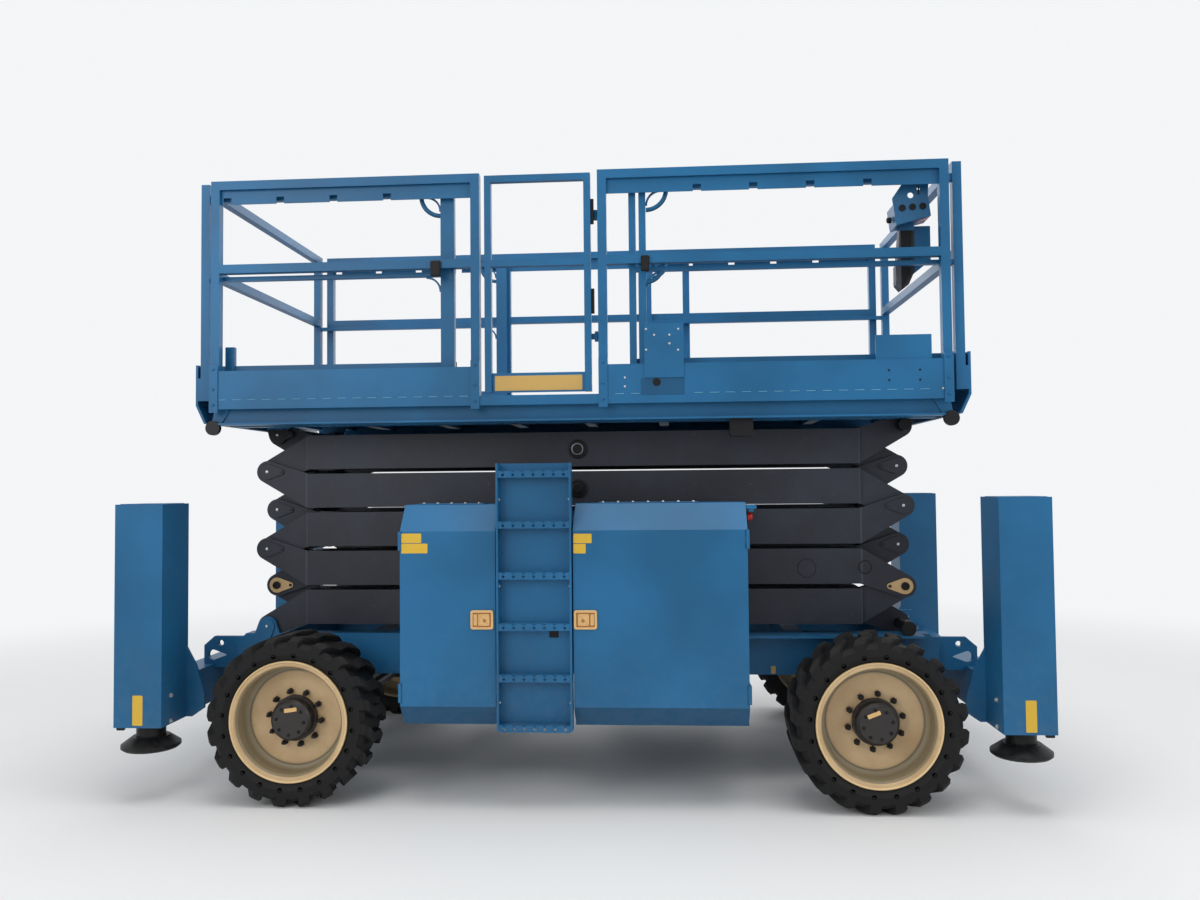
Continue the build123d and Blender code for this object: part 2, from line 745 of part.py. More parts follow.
ladder_y = -outrigger_side
rail_thick, rail_deep = ladder_rail
with BuildPart() as ladder:
    for x in ((ladder_left, ladder_left + rail_thick), (ladder_right - rail_thick, ladder_right)):
        block(x, (ladder_y, ladder_y + rail_deep), (ladder_bottom, ladder_top))
    block((ladder_left, ladder_right), (ladder_y + rail_deep - 1, ladder_y + rail_deep + ladder_sheet),
          (ladder_bottom, ladder_top))
    rung_x = (ladder_left + rail_thick, ladder_right - rail_thick)
    hole_pitch = (rung_x[1] - rung_x[0]) / rung_holes
    for top in rung_tops:
        # A channel open below, with a row of holes in front and teeth along its top edge
        block((rung_x[0] - 1, rung_x[1] + 1), (ladder_y + 2, ladder_y + rung_depth),
              (top - rung_height, top))
        block(rung_x, (ladder_y + 2 + rung_wall, ladder_y + rail_deep - 1),
              (top - rung_height - 1, top - rung_wall), Mode.SUBTRACT)
        for i in range(rung_holes):
            hole_x = rung_x[0] + hole_pitch * (i + 0.5)
            shaft(hole_x, top - rung_height * 0.6, rung_hole_radius,
                  (ladder_y, ladder_y + 2 * rung_wall), Mode.SUBTRACT)
            shaft(hole_x, top + rung_hole_radius, 2 * rung_hole_radius,
                  (ladder_y, ladder_y + 2 * rung_wall), Mode.SUBTRACT)
    for x in (ladder_left + bracket_width, ladder_right - bracket_width):
        block(about(x, bracket_width / 3), (ladder_y + rail_deep, -frame_y[1]),
              (bracket_low, bracket_low + bracket_height / 2))
save(ladder.part, "ladder")

# Scissor arms. Left pins stand at -end_pin_x and right pins at +end_pin_x, level 0 lowest.
# End kinds: tongue turns on a fork's pin, fork carries the pin and a cross tube, root turns on a
# lug's pin and has a cross tube, roller has a bore for a roller's axle and a cross tube.


def pin_z(level):
    return base_pin_z + level * pitch


# name, lane middle, left level, left end, right level, right end
arms = [
    ("outer_arms_1", outer_lane, 0, "root", 1, "tongue"),
    ("outer_arms_2", outer_lane, 2, "fork", 1, "fork"),
    ("outer_arms_3", outer_lane, 2, "tongue", 3, "fork"),
    ("outer_arms_4", outer_lane, 4, "fork", 3, "tongue"),
    ("outer_arms_5", outer_lane, 4, "tongue", 5, "roller"),
    ("inner_arms_1", inner_lane, 1, "tongue", 0, "roller"),
    ("inner_arms_2", inner_lane, 1, "fork", 2, "fork"),
    ("inner_arms_3", inner_lane, 3, "fork", 2, "tongue"),
    ("inner_arms_4", inner_lane, 3, "tongue", 4, "fork"),
    ("inner_arms_5", inner_lane, 5, "root", 4, "tongue"),
]

# arm: eye's x, eye's height over the arm's middle line, cross tube from the eye, whether the arm
# carries the eye's pin
base_mount = (base_eye_x, -base_eye_drop, base_tube, True)
rod_mount = (rod_eye_x, rod_eye_rise, rod_tube, False)
cylinder_mounts = {
    "inner_arms_1": base_mount,
    "inner_arms_2": rod_mount,
    "inner_arms_3": base_mount,
    "inner_arms_4": rod_mount,
}
# bore radius of each kind of end that turns on something
bores = {
    "root": pin_radius + running,
    "tongue": pin_radius + running,
    "roller": roller_pin_radius + running,
}


def nose(pin_x, z, middle_z, y):
    # Tapered end plate from the beam's end face to a round boss at the pin
    towards = 1 if pin_x > 0 else -1
    with BuildSketch(side_plane(max(y))) as outline:
        with Locations((pin_x, z)):
            Circle(nose_radius)
        with Locations((towards * (beam_end_x - 5), middle_z)):
            Rectangle(10, arm_height)
        make_hull()
    extrude(outline.sketch, amount=abs(y[1] - y[0]))


def keeper(pin_x, z, y):
    # Teardrop plate that holds a pin, its small end pointing along the arm
    inwards = -1 if pin_x > 0 else 1
    side_link(((pin_x, z, head_radius), (pin_x + inwards * keeper_reach, z, keeper_radius)), y)


for name, lane, left_level, left_kind, right_level, right_kind in arms:
    middle_z = (pin_z(left_level) + pin_z(right_level)) / 2
    outer = lane == outer_lane
    face_in = lane - arm_width / 2
    face_out = lane + arm_width / 2
    pins = ((-end_pin_x, pin_z(left_level), left_kind), (end_pin_x, pin_z(right_level), right_kind))
    with BuildPart() as arm:
        for side in sides.values():
            block((-beam_end_x, beam_end_x), mirrored(side, face_in, face_out),
                  about(middle_z, arm_height / 2))
            for pin_x, z, kind in pins:
                if kind == "fork":
                    nose(pin_x, z, middle_z, mirrored(side, face_in, face_in + plate))
                    nose(pin_x, z, middle_z, mirrored(side, face_out - plate, face_out))
                    shaft(pin_x, z, pin_radius, mirrored(side, face_in, face_out))
                    keeper(pin_x, z, mirrored(side, face_out, face_out + pin_head))
                else:
                    nose(pin_x, z, middle_z, mirrored(side, lane - tongue_half, lane + tongue_half))
        for pin_x, z, kind in pins:
            if kind == "fork":
                shaft(pin_x, z, cross_tube_radius, about(0, face_in + 1))
            if kind in ("root", "roller"):
                shaft(pin_x, z, cross_tube_radius, about(0, lane - tongue_half + 1))
            if kind in bores:
                for side in sides.values():
                    shaft(pin_x, z, bores[kind], mirrored(side, face_in - seat, face_out),
                          Mode.SUBTRACT)
        # Centre pivots: the outer arms carry the pins, the inner arms have the bores
        lanes_gap = outer_lane - inner_lane - arm_width
        for side in sides.values():
            if outer:
                shaft(0, middle_z, nose_radius,
                      mirrored(side, face_in - lanes_gap + side_gap, face_in + 5))
                shaft(0, middle_z, lug_radius, mirrored(side, face_out - 5, face_out + pin_head))
                shaft(0, middle_z, centre_pin_radius,
                      mirrored(side, inner_lane - arm_width / 2 - pin_head, face_in))
            else:
                shaft(0, middle_z, centre_pin_radius + running,
                      mirrored(side, face_in - 1, face_out + 1), Mode.SUBTRACT)
        if name in cylinder_mounts:
            eye_x, rise, tube, has_pin = cylinder_mounts[name]
            eye_z = middle_z + rise
            lug_low = eye_width / 2 + side_gap
            shaft(eye_x + tube[0], eye_z + tube[1], cross_tube_radius, about(0, face_in + 1))
            for side in sides.values():
                lug_y = mirrored(side, lug_low, lug_low + cylinder_lug)
                side_link(
                    (
                        (eye_x, eye_z, eye_radius),
                        (eye_x + tube[0], eye_z + tube[1], eye_radius),
                    ),
                    lug_y,
                )
                if not has_pin:
                    shaft(eye_x, eye_z, eye_pin_radius + running, lug_y, Mode.SUBTRACT)
            if has_pin:
                shaft(eye_x, eye_z, eye_pin_radius, about(0, lug_low + cylinder_lug + side_gap))
    save(arm.part, name)

# Rollers at the free ends of the lowest inner and the highest outer arms, each with its axle

rollers = (                     # name, lane of its arm, height, roller radius
    ("lower_rollers", inner_lane, pin_z(0), lower_roller_radius),
    ("upper_rollers", outer_lane, pin_z(levels), upper_roller_radius),
)
for name, lane, z, radius in rollers:
    with BuildPart() as roller_pair:
        for side in sides.values():
            shaft(end_pin_x, z, roller_pin_radius,
                  mirrored(side, lane - tongue_half + side_gap, roller_lane[1]))
            shaft(end_pin_x, z, radius, mirrored(side, *roller_lane))
    save(roller_pair.part, name)

# Lift cylinders: barrel on the lower arm of its pair, rod towards the upper one

for name, lower, upper in (("lower", 1, 2), ("upper", 3, 4)):
    base_z = (pin_z(lower) + pin_z(lower - 1)) / 2 - base_eye_drop
    top_z = (pin_z(upper) + pin_z(upper - 1)) / 2 + rod_eye_rise
    run = Vector(rod_eye_x - base_eye_x, 0, top_z - base_z)
    along = Plane(origin=(base_eye_x, 0, base_z), x_dir=(0, 1, 0), z_dir=run)
    closed = run.length
    barrel_length = closed - barrel_end_gap
    bore_start = barrel_neck + barrel_floor
    bore_end = barrel_length - barrel_head
    with BuildPart(along) as barrel:
        with Locations((0, 0, barrel_neck)):
            Cylinder(barrel_radius, barrel_length - barrel_neck,
                     align=(Align.CENTER, Align.CENTER, Align.MIN))
        with Locations((0, 0, barrel_neck / 2)):
            Box(eye_width, eye_neck, barrel_neck + 2)
        Cylinder(eye_radius, eye_width, rotation=(0, 90, 0))
        Cylinder(eye_pin_radius + running, eye_width + 2, rotation=(0, 90, 0),
                 mode=Mode.SUBTRACT)
        with Locations((0, 0, bore_start)):
            Cylinder(barrel_bore, bore_end - bore_start,
                     align=(Align.CENTER, Align.CENTER, Align.MIN), mode=Mode.SUBTRACT)
            Cylinder(rod_radius + running, barrel_length,
                     align=(Align.CENTER, Align.CENTER, Align.MIN), mode=Mode.SUBTRACT)
    save(barrel.part, f"barrel_{name}")
    with BuildPart(along) as rod:
        with Locations((0, 0, bore_start + piston_gap)):
            Cylinder(barrel_bore - running, piston,
                     align=(Align.CENTER, Align.CENTER, Align.MIN))
            Cylinder(rod_radius, closed - bore_start - piston_gap,
                     align=(Align.CENTER, Align.CENTER, Align.MIN))
        with Locations((0, 0, closed)):
            Cylinder(eye_radius, eye_width, rotation=(0, 90, 0))
            Cylinder(eye_pin_radius + running, eye_width + 2, rotation=(0, 90, 0),
                     mode=Mode.SUBTRACT)
    save(rod.part, f"rod_{name}")

# Platform deck: a floor on cross members, a beam over each lane of rollers, and a side channel
# along each edge

floor_bottom = deck_floor - floor_plate
side_seam = deck_side - deck_web[1]
beam_x = about(0, deck_half - deck_cross_width / 2)
with BuildPart() as deck:
    block((-deck_half, deck_half), (-side_seam, side_seam), (floor_bottom, deck_floor))
    cross_span = deck_half - deck_cross_width
    for i in range(deck_cross_members):
        x = -cross_span + i * 2 * cross_span / (deck_cross_members - 1)
        for y in (about(0, deck_beam[0]), (deck_beam[1], side_seam), (-side_seam, -deck_beam[1])):
            block(about(x, deck_cross_width / 2), y, (deck_cross_bottom, floor_bottom + 1))
save(deck.part, "deck")

lug_carrier = 70.0              # height of the bracket between a beam and its lug
with BuildPart() as deck_beams:
    for side in sides.values():
        block(beam_x, mirrored(side, *deck_beam), (deck_beam_bottom, floor_bottom))
        lug_x = about(-end_pin_x, nose_radius + lug_radius / 2)
        block(lug_x, mirrored(side, inner_lane + fork_gap, deck_beam[0] + 1),
              (floor_bottom - lug_carrier, floor_bottom))
        side_link(
            (
                (-end_pin_x, pin_z(levels), lug_radius),
                (lug_x[0] + lug_radius / 2, floor_bottom - lug_radius / 2, lug_radius / 2),
                (lug_x[1] - lug_radius / 2, floor_bottom - lug_radius / 2, lug_radius / 2),
            ),
            mirrored(side, inner_lane + fork_gap, inner_lane + arm_width / 2),
        )
        shaft(-end_pin_x, pin_z(levels), pin_radius, mirrored(side, *about(inner_lane, arm_width / 2)))
        keeper(-end_pin_x, pin_z(levels),
               mirrored(side, inner_lane + arm_width / 2, inner_lane + arm_width / 2 + pin_head))
save(deck_beams.part, "deck_beams")

roller_width = 25.0
for side_name, side in sides.items():
    with BuildPart() as deck_side_channel:
        block((-deck_half, deck_half), mirrored(side, side_seam, deck_side), (floor_bottom, deck_floor))
        block((-deck_half, deck_half), mirrored(side, deck_side - panel, deck_side),
              (panel_bottom, toe_top))
        block(beam_x, mirrored(side, side_seam, deck_side - deck_web[0]),
              (deck_beam_bottom, floor_bottom + 1))
        block(beam_x, mirrored(side, deck_side - deck_flange[1], deck_side - deck_flange[0]),
              (deck_beam_bottom, deck_beam_bottom + deck_flange_thickness))
        # Rollers at the ends that carry the extension decks
        for end in ends.values():
            roller_x = end * (deck_half - panel)
            bracket_y = deck_side - deck_web[0]
            side_link(
                (
                    (roller_x, deck_roller_z, deck_roller_radius / 2),
                    (roller_x - end * deck_cross_width, panel_bottom, deck_roller_radius / 2),
                    (roller_x - end * deck_roller_radius / 2, panel_bottom, deck_roller_radius / 2),
                ),
                mirrored(side, bracket_y, bracket_y + panel),
            )
            shaft(roller_x, deck_roller_z, deck_roller_radius,
                  mirrored(side, bracket_y + panel, bracket_y + panel + roller_width))
        if side < 0:
            block(gate_opening, (-deck_side - 1, -deck_side + panel + 1), (deck_floor, toe_top + 1),
                  Mode.SUBTRACT)
            # Outlet plate on the outside of the panel and kick plate on its inside
            x_from, x_to, z_from, z_to = outlet_plate
            block((x_from, x_to), (-deck_side - post_foot_thickness, -deck_side + 1),
                  (z_from, z_to))
            x_from, x_to, z_from, z_to = kick_plate
            block((x_from, x_to), (-deck_side + panel - 1, -deck_side + panel + post_foot_thickness),
                  (z_from, z_to))
    save(deck_side_channel.part, f"deck_side_{side_name}")

# Switch box under the near edge of the deck
switch_x = (800.0, 918.0)
switch_height = 90.0
switch_depth = 60.0
with BuildPart() as switch_box:
    box_y = -deck_side + deck_flange[1]
    block(switch_x, (box_y, box_y - switch_depth),
          (deck_beam_bottom - switch_height, deck_beam_bottom))
    fillet(switch_box.edges().filter_by(Axis.Y).group_by(Axis.Z)[0], 16)
save(switch_box.part, "switch_box")

# Fixed guard rails of the platform, near and far

main_post_x = deck_half - post_inset
rail_posts = {
    "near": (-main_post_x, gate_opening[0] - post_half, gate_opening[1] + post_half, main_post_x),
    "far": (-main_post_x, -far_post_x, far_post_x, main_post_x),
}
rail_runs = {"near": ((0, 1), (2, 3)), "far": ((0, 3),)}
gate_hinge_x = gate_opening[1] - gate_hinge_gap
gate_hinge_y = -post_y + post_half - 2
gate_segment = 10.0
for side_name, side in sides.items():
    posts = rail_posts[side_name]
    lane = mirrored(side, post_y - post_half, post_y + post_half)
    foot_y = mirrored(side, deck_side, deck_side + post_foot_thickness)
    with BuildPart() as rails:
        for x in posts:
            block(about(x, post_half), lane, (deck_floor, rail_top))
            block(about(x, post_half), foot_y, post_foot)
            block(about(x, post_half), mirrored(side, post_y, deck_side + post_foot_thickness),
                  (toe_top + seat, post_foot[1]))
        for first, last in rail_runs[side_name]:
            run_x = (posts[first], posts[last])
            for top in (rail_top, mid_rail_top):
                block(run_x, lane, (top - rail_tube, top))
            block(run_x, mirrored(side, *about(post_y, notch_strip[1] / 2)),
                  (notch_strip[0], rail_top - rail_tube + 5))
        for start in notch_starts:
            for i in range(notches):
                block(about(start + i * notch_pitch, notch[0] / 2),
                      mirrored(side, *about(post_y, notch_strip[1])),
                      (notch_strip[0] - 1, notch_strip[0] + notch[1]), Mode.SUBTRACT)
        if side < 0:
            for level in gate_hinge_levels:
                for z in ((level - 26, level - 16), (level + 16, level + 26)):
                    block((gate_opening[1] + 5, gate_hinge_x), about(gate_hinge_y, 8), z)
                    upright(gate_hinge_x, gate_hinge_y, gate_hinge_radius, z)
                upright(gate_hinge_x, gate_hinge_y, gate_pin_radius, about(level, 26))
    save(rails.part, f"rails_{side_name}")

gate_x = (gate_opening[0] + gate_play[0], gate_opening[1] - gate_play[1])
with BuildPart() as gate:
    lane = about(-post_y, gate_tube / 2)
    for x in ((gate_x[0], gate_x[0] + gate_tube), (gate_x[1] - gate_tube, gate_x[1])):
        block(x, lane, (gate_bottom, gate_top))
    for top in (gate_top, mid_rail_top - 10):
        block(gate_x, lane, (top - gate_tube, top))
    block(gate_x, about(-post_y, panel / 2), (gate_bottom, gate_toe_top))
    for level in gate_hinge_levels:
        block((gate_x[1] - 5, gate_hinge_x), (gate_hinge_y - 6, gate_hinge_y + 4), about(level, 15))
        upright(gate_hinge_x, gate_hinge_y, gate_hinge_radius + 1, about(level, 15))
    for level in gate_hinge_levels:
        upright(gate_hinge_x, gate_hinge_y, gate_pin_radius + running, about(level, 20),
                Mode.SUBTRACT)
save(gate.part, "gate")

# Extension decks with their own rails; they roll out over the ends of the main deck


def brace(post_face, under, end, y):
    # Quarter ring in the corner between an inboard post and the rail above it
    with BuildSketch(side_plane(max(y))) as ring:
        with Locations((post_face + end * brace_radius, under - brace_radius)):
            Circle(brace_radius)
            Circle(brace_radius - brace_thickness, mode=Mode.SUBTRACT)
            Rectangle(brace_radius, brace_radius, mode=Mode.INTERSECT,
                      align=(Align.MAX if end > 0 else Align.MIN, Align.MIN))
    extrude(ring.sketch, amount=abs(y[1] - y[0]))


ext_half = ext_tube / 2
floor_low = deck_floor + seat
ext_rails = ((ext_top_rail - ext_tube, ext_top_rail), ext_mid_rail)
foot_height = 120.0
# distance of each inboard post's inner face from the inner end of the extension
inboard_posts = {"left": (0.0, 2 * ext_half), "right": (0.0, 52.0)}
for name, inner_x in ext_inner.items():
    end = ends[name]
    with BuildPart() as extension:
        block((inner_x, end * ext_end_x), (-ext_floor_half, ext_floor_half),
              (floor_low, floor_low + ext_floor))
        # End plate, bent inwards at its foot
        side_plate(
            (
                (end * ext_end_x, ext_toe_top),
                (end * ext_end_x, ext_end_knee),
                (end * (ext_end_x - ext_end_bend), ext_end_bottom),
                (end * (ext_end_x - ext_end_bend - ext_end_plate), ext_end_bottom + 4),
                (end * (ext_end_x - ext_end_plate), ext_end_knee + 4),
                (end * (ext_end_x - ext_end_plate), ext_toe_top),
            ),
            about(0, ext_post_y + post_half),
        )
        for side in sides.values():
            ext_lane = mirrored(side, ext_post_y - ext_half, ext_post_y + ext_half)
            corner = mirrored(side, ext_post_y - post_half, ext_post_y + post_half)
            toe_y = mirrored(side, ext_floor_half - ext_toe, ext_floor_half)
            block((inner_x, end * ext_end_x), toe_y, (floor_low, ext_toe_top))
            for z in ext_rails:
                block((inner_x, end * ext_end_rail_x), ext_lane, z)
            for offset_x in inboard_posts[name]:
                x = (inner_x + end * offset_x, inner_x + end * (offset_x + ext_tube))
                block(x, ext_lane, (floor_low, ext_top_rail))
                block(x, mirrored(side, ext_floor_half - ext_toe, ext_post_y),
                      (floor_low, floor_low + foot_height))
            last_face = inner_x + end * (inboard_posts[name][-1] + ext_tube - 1)
            for rail_bottom, rail_high in ext_rails:
                brace(last_face, rail_bottom + 1, end, mirrored(side, *about(ext_post_y, 6)))
            frame_x = (end * (ext_end_rail_x - post_half), end * (ext_end_rail_x + post_half))
            block(frame_x, corner, (floor_low, rail_top))
            block((frame_x[0], end * ext_end_x), corner, (floor_low, floor_low + foot_height))
        for top in (rail_top, mid_rail_top):
            block(frame_x, about(0, ext_post_y), (top - rail_tube, top))
    save(extension.part, f"extension_{name}")

# Control box on the right extension's near rail: a hanging plate with a box behind it and a holder
control_plate = (
    (1715, 3122), (1643, 3016), (1662, 2878), (1836, 2923), (1822, 3020), (1828, 3122),
)
control_case = ((1648, 2985), (1662, 2878), (1836, 2923), (1822, 3030))
control_holder = (
    (1700, 2895), (1700, 2720), (1675, 2690), (1675, 2590), (1700, 2560), (1740, 2590), (1771, 2660),
    (1771, 2910),
)
control_depth = 150.0
holder_depth = 60.0
with BuildPart() as control_box:
    face = -(ext_post_y - ext_half)
    side_plate(control_plate, (face, face + 6))
    side_plate(control_case, (face, face + control_depth))
    side_plate(control_holder, (face + control_depth - holder_depth, face + control_depth))
    for x, z, radius in ((1735, 3030, 15), (1775, 3062, 8)):
        shaft(x, z, radius, (face - 1, face + 7), Mode.SUBTRACT)
save(control_box.part, "control_box")
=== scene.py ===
# %% [markdown]
# A rough-terrain scissor lift stands stowed on its four wheels: a blue frame with cabinets and
# corner outriggers, a stack of dark crossed arms, and a railed platform on top. The solid model
# already holds every piece that carries load or moves. This lesson gives each of them its
# finish and adds what is too small for the solid model: bolts, studs, lids, plates and latches.
# A place could always be typed in, but where the solid model knows it, it is asked: a joint
# gives a pin or an axle, and a piece's box gives the face that something is fixed to.

import json
from math import cos, pi, radians, sin

import bpy
from mathutils import Matrix, Vector


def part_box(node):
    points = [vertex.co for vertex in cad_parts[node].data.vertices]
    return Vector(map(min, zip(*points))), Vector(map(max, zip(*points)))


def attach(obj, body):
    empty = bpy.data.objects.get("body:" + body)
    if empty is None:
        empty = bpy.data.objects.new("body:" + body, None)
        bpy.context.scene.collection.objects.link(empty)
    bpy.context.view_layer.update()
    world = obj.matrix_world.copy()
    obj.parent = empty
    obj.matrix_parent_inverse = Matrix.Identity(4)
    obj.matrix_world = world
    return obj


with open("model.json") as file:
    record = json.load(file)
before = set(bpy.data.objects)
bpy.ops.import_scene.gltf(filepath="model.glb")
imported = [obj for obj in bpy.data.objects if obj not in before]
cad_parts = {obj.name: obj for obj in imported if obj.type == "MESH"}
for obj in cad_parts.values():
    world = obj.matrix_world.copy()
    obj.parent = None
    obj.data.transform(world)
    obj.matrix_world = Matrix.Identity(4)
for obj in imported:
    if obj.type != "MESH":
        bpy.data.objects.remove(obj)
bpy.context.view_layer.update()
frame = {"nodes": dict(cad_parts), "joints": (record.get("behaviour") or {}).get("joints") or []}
bpy.ops.object.select_all(action="DESELECT")
pivots = {joint["name"]: joint.get("pos_m") for joint in frame["joints"]}


def lowest(node, axis):
    # Where a solid piece starts along "X", "Y" or "Z", to a tenth of a millimetre
    return round(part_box(node)[0]["XYZ".index(axis)], 4)


def highest(node, axis):
    return round(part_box(node)[1]["XYZ".index(axis)], 4)


# %% [markdown]
# The photograph was taken by a person standing in front of the ladder, a little right of the
# middle, with a wide lens. The camera could be placed by eye, but here its place, turn and
# focal length are worked out from the wheels, whose size and spacing are known. A camera looks
# along its own -Z, so its turn is written as three axes and not as angles in a row.

# %% Camera
eye = Vector((0.488, -5.894, 1.562))
yaw, pitch, roll = -0.0696, 0.0364, -0.0095
focal_pixels, picture_width = 984.96, 1200
sensor_width = 36

look = Vector((sin(yaw) * cos(pitch), cos(yaw) * cos(pitch), sin(pitch)))
level = Vector((cos(yaw), -sin(yaw), 0))
above = level.cross(look)
across = level * cos(roll) + above * sin(roll)
above = above * cos(roll) - level * sin(roll)
turn = Matrix((across, above, -look)).transposed()

bpy.ops.object.camera_add(location=eye, rotation=turn.to_euler())
camera = bpy.context.object
camera.name = "camera"
camera.data.sensor_width = sensor_width
camera.data.lens = sensor_width * (focal_pixels / picture_width)
bpy.context.scene.camera = camera
print("lens", round(camera.data.lens, 2), "mm")

# %% [markdown]
# Shader maths is easier to read as arithmetic than as a web of nodes. A small class wraps a
# socket, and adding, scaling or comparing two of them adds the Math node for it.


# %% A socket that can be added and multiplied
class Value:
    def __init__(self, finish, socket):
        self.finish = finish
        self.socket = socket

    def maths(self, operation, other=None, swap=False):
        parts = [self] if other is None else [other, self] if swap else [self, other]
        return self.finish.node("Math", {"operation": operation}, dict(enumerate(parts)))

    def __add__(self, other):
        return self.maths("ADD", other)

    def __sub__(self, other):
        return self.maths("SUBTRACT", other)

    def __rsub__(self, other):
        return self.maths("SUBTRACT", other, swap=True)

    def __mul__(self, other):
        return self.maths("MULTIPLY", other)

    def __gt__(self, other):
        return self.maths("GREATER_THAN", other)

    def __lt__(self, other):
        return self.maths("LESS_THAN", other)

    def __abs__(self):
        return self.maths("ABSOLUTE")

    __radd__ = __add__
    __rmul__ = __mul__

    def sine(self):
        return self.maths("SINE")

    def root(self):
        return self.maths("SQRT")

    def clamp(self):
        return self.maths("MAXIMUM", 0.0).maths("MINIMUM", 1.0)


# %% [markdown]
# A second class holds one material. Every node that isn't arithmetic comes from its method
# called node, which takes the node's type, its settings and what goes into its sockets. The
# light behind the machine is a tree of nodes too, so the class can hold the world instead.


# %% A finish and the steps that finishes share
class Finish:
    def __init__(self, name, world=None):
        self.material = world or bpy.data.materials.new(name)
        self.material.use_nodes = True
        self.tree = self.material.node_tree
        self.shader = self.tree.nodes["Background" if world else "Principled BSDF"]

    def node(self, kind, settings=None, inputs=None, out=0):
        made = self.tree.nodes.new("ShaderNode" + kind)
        for name, setting in (settings or {}).items():
            setattr(made, name, setting)
        for name, value in (inputs or {}).items():
            self.put(made.inputs[name], value)
        return Value(self, made.outputs[out])

    def put(self, socket, value):
        if isinstance(value, Value):
            self.tree.links.new(value.socket, socket)
        elif socket.type == "RGBA" and len(value) == 3:
            socket.default_value = (*value, 1)
        else:
            socket.default_value = value

    def set(self, **inputs):
        for name, value in inputs.items():
            self.put(self.shader.inputs[name.replace("_", " ")], value)

    def spot(self):
        return self.node("TexCoord", out="Object")

    def axes(self, vector):
        # X, Y and Z of a place or a direction, as three values
        outs = self.node("SeparateXYZ", inputs={0: vector}).socket.node.outputs
        return tuple(Value(self, outs[axis]) for axis in "XYZ")

    def up(self):
        # 1 where the surface faces up, -1 on an underside
        return self.axes(self.node("TexCoord", out="Normal"))[2]

    def noise(self, spot, scale, detail=2.0, roughness=0.5):
        inputs = {"Vector": spot, "Scale": scale, "Detail": detail, "Roughness": roughness}
        return self.node("TexNoise", inputs=inputs)

    def ramp(self, value, low, high):
        # 0 below low, 1 above high, smooth between
        inputs = {0: value, 1: low, 2: high, 3: 0.0, 4: 1.0}
        return self.node("MapRange", {"interpolation_type": "SMOOTHSTEP"}, inputs)

    def mix(self, mask, first, second):
        inputs = {0: mask, 6: first, 7: second}
        return self.node("Mix", {"data_type": "RGBA"}, inputs, out=2)

    def drifting(self, cloud, tone, drift=0.08):
        # The tone, a little darker in one part of the cloud and lighter in the other
        dark, light = (shade(tone, 1 - 2 * drift), shade(tone, 1 + 2 * drift))
        return self.mix(self.ramp(cloud, 0.32, 0.68), dark, light)

    def bump(self, height, strength, distance):
        inputs = {"Strength": strength, "Distance": distance, "Height": height}
        self.set(Normal=self.node("Bump", inputs=inputs))


def colour(red, green, blue):
    # The colour as an eye dropper gives it, 0 to 255, made linear
    def linear(channel):
        share = channel / 255
        return share / 12.92 if share <= 0.04045 else ((share + 0.055) / 1.055) ** 2.4
    return tuple(linear(channel) for channel in (red, green, blue))


def shade(tone, share):
    return tuple(min(1, channel * share) for channel in tone)


# %% [markdown]
# Nearly all the machine is sprayed with one blue enamel. A single flat colour looks like plastic,
# so the enamel here drifts a little in tone over a metre, gathers thin dust on what faces up and
# near the ground, has painted shade where it faces the ground, and has the fine orange-peel
# surface that spraying leaves.

# %% Sprayed enamel
dust = colour(150, 150, 142)
splash_height = (0.15, 1.1)     # dust is thickest below the first and stops at the second


def enamel(name, tone, roughness=0.36, drift=0.08, dusty=0.16, peel=0.12, shine=0.32):
    finish = Finish(name)
    spot, up = finish.spot(), finish.up()
    z = finish.axes(spot)[2]
    cloud = finish.noise(spot, 1.6, 4.0)
    fine = finish.noise(spot, 23.0, 5.0, 0.65)
    low = 1 - finish.ramp(z, *splash_height)
    settled = (finish.ramp(up, 0.85, 1.0) * 0.7 + low * 0.5) * finish.ramp(fine, 0.35, 0.75)
    settled = (settled * dusty).clamp()
    # Painted shade: faces that look down are mixed towards a darker copy of the tone.
    painted_underside_shade = finish.ramp(0.0 - up, 0.08, 0.5)
    paint = finish.mix(painted_underside_shade * 0.8, finish.drifting(cloud, tone, drift), shade(tone, 0.55))
    finish.set(
        Base_Color=finish.mix(settled, paint, dust),
        Roughness=roughness + 0.1 * cloud + 0.5 * settled,
        Specular_IOR_Level=shine,
    )
    finish.bump(finish.noise(spot, 420.0, 1.0), peel, 0.0006)
    return finish.material


blue_tone = colour(28, 97, 141)
blue = enamel("blue_enamel", blue_tone)
black = enamel("black_enamel", colour(17, 17, 19), roughness=0.38, dusty=0.1, shine=0.22)
cream = enamel("cream_enamel", colour(226, 196, 146), roughness=0.36, drift=0.04)
yellow = enamel("yellow_plate", colour(216, 176, 58), roughness=0.4, drift=0.02, dusty=0.05)
tan = enamel("tan_plate", colour(196, 160, 92), roughness=0.4, drift=0.03, dusty=0.05)
weld_blue = enamel("weld_blue", colour(92, 150, 184), roughness=0.3, drift=0.05, peel=0.4)
shadow_blue = enamel("shadow_blue", colour(20, 78, 116), roughness=0.4)
print("enamels", [paint.name for paint in (blue, black, cream, yellow, tan, weld_blue)])

# %% [markdown]
# The arms are long box beams in dark grey. On the real machine their colour comes from thick
# paint over rolled steel: broad cloudy patches where it is glossier, and a welded seam where the
# tapered end plate meets the beam. Two bands at a fixed X give the seam, worked out from the
# place where the beams end. The second arms have a gold plate at one end, on the outer face.

# %% Dark arm paint with its weld seams
beam_end, tip_from = 1.493, 1.5
outer_face, inner_face = highest("outer_arms_2", "Y"), highest("inner_arms_2", "Y")
plate_thickness = 0.0075


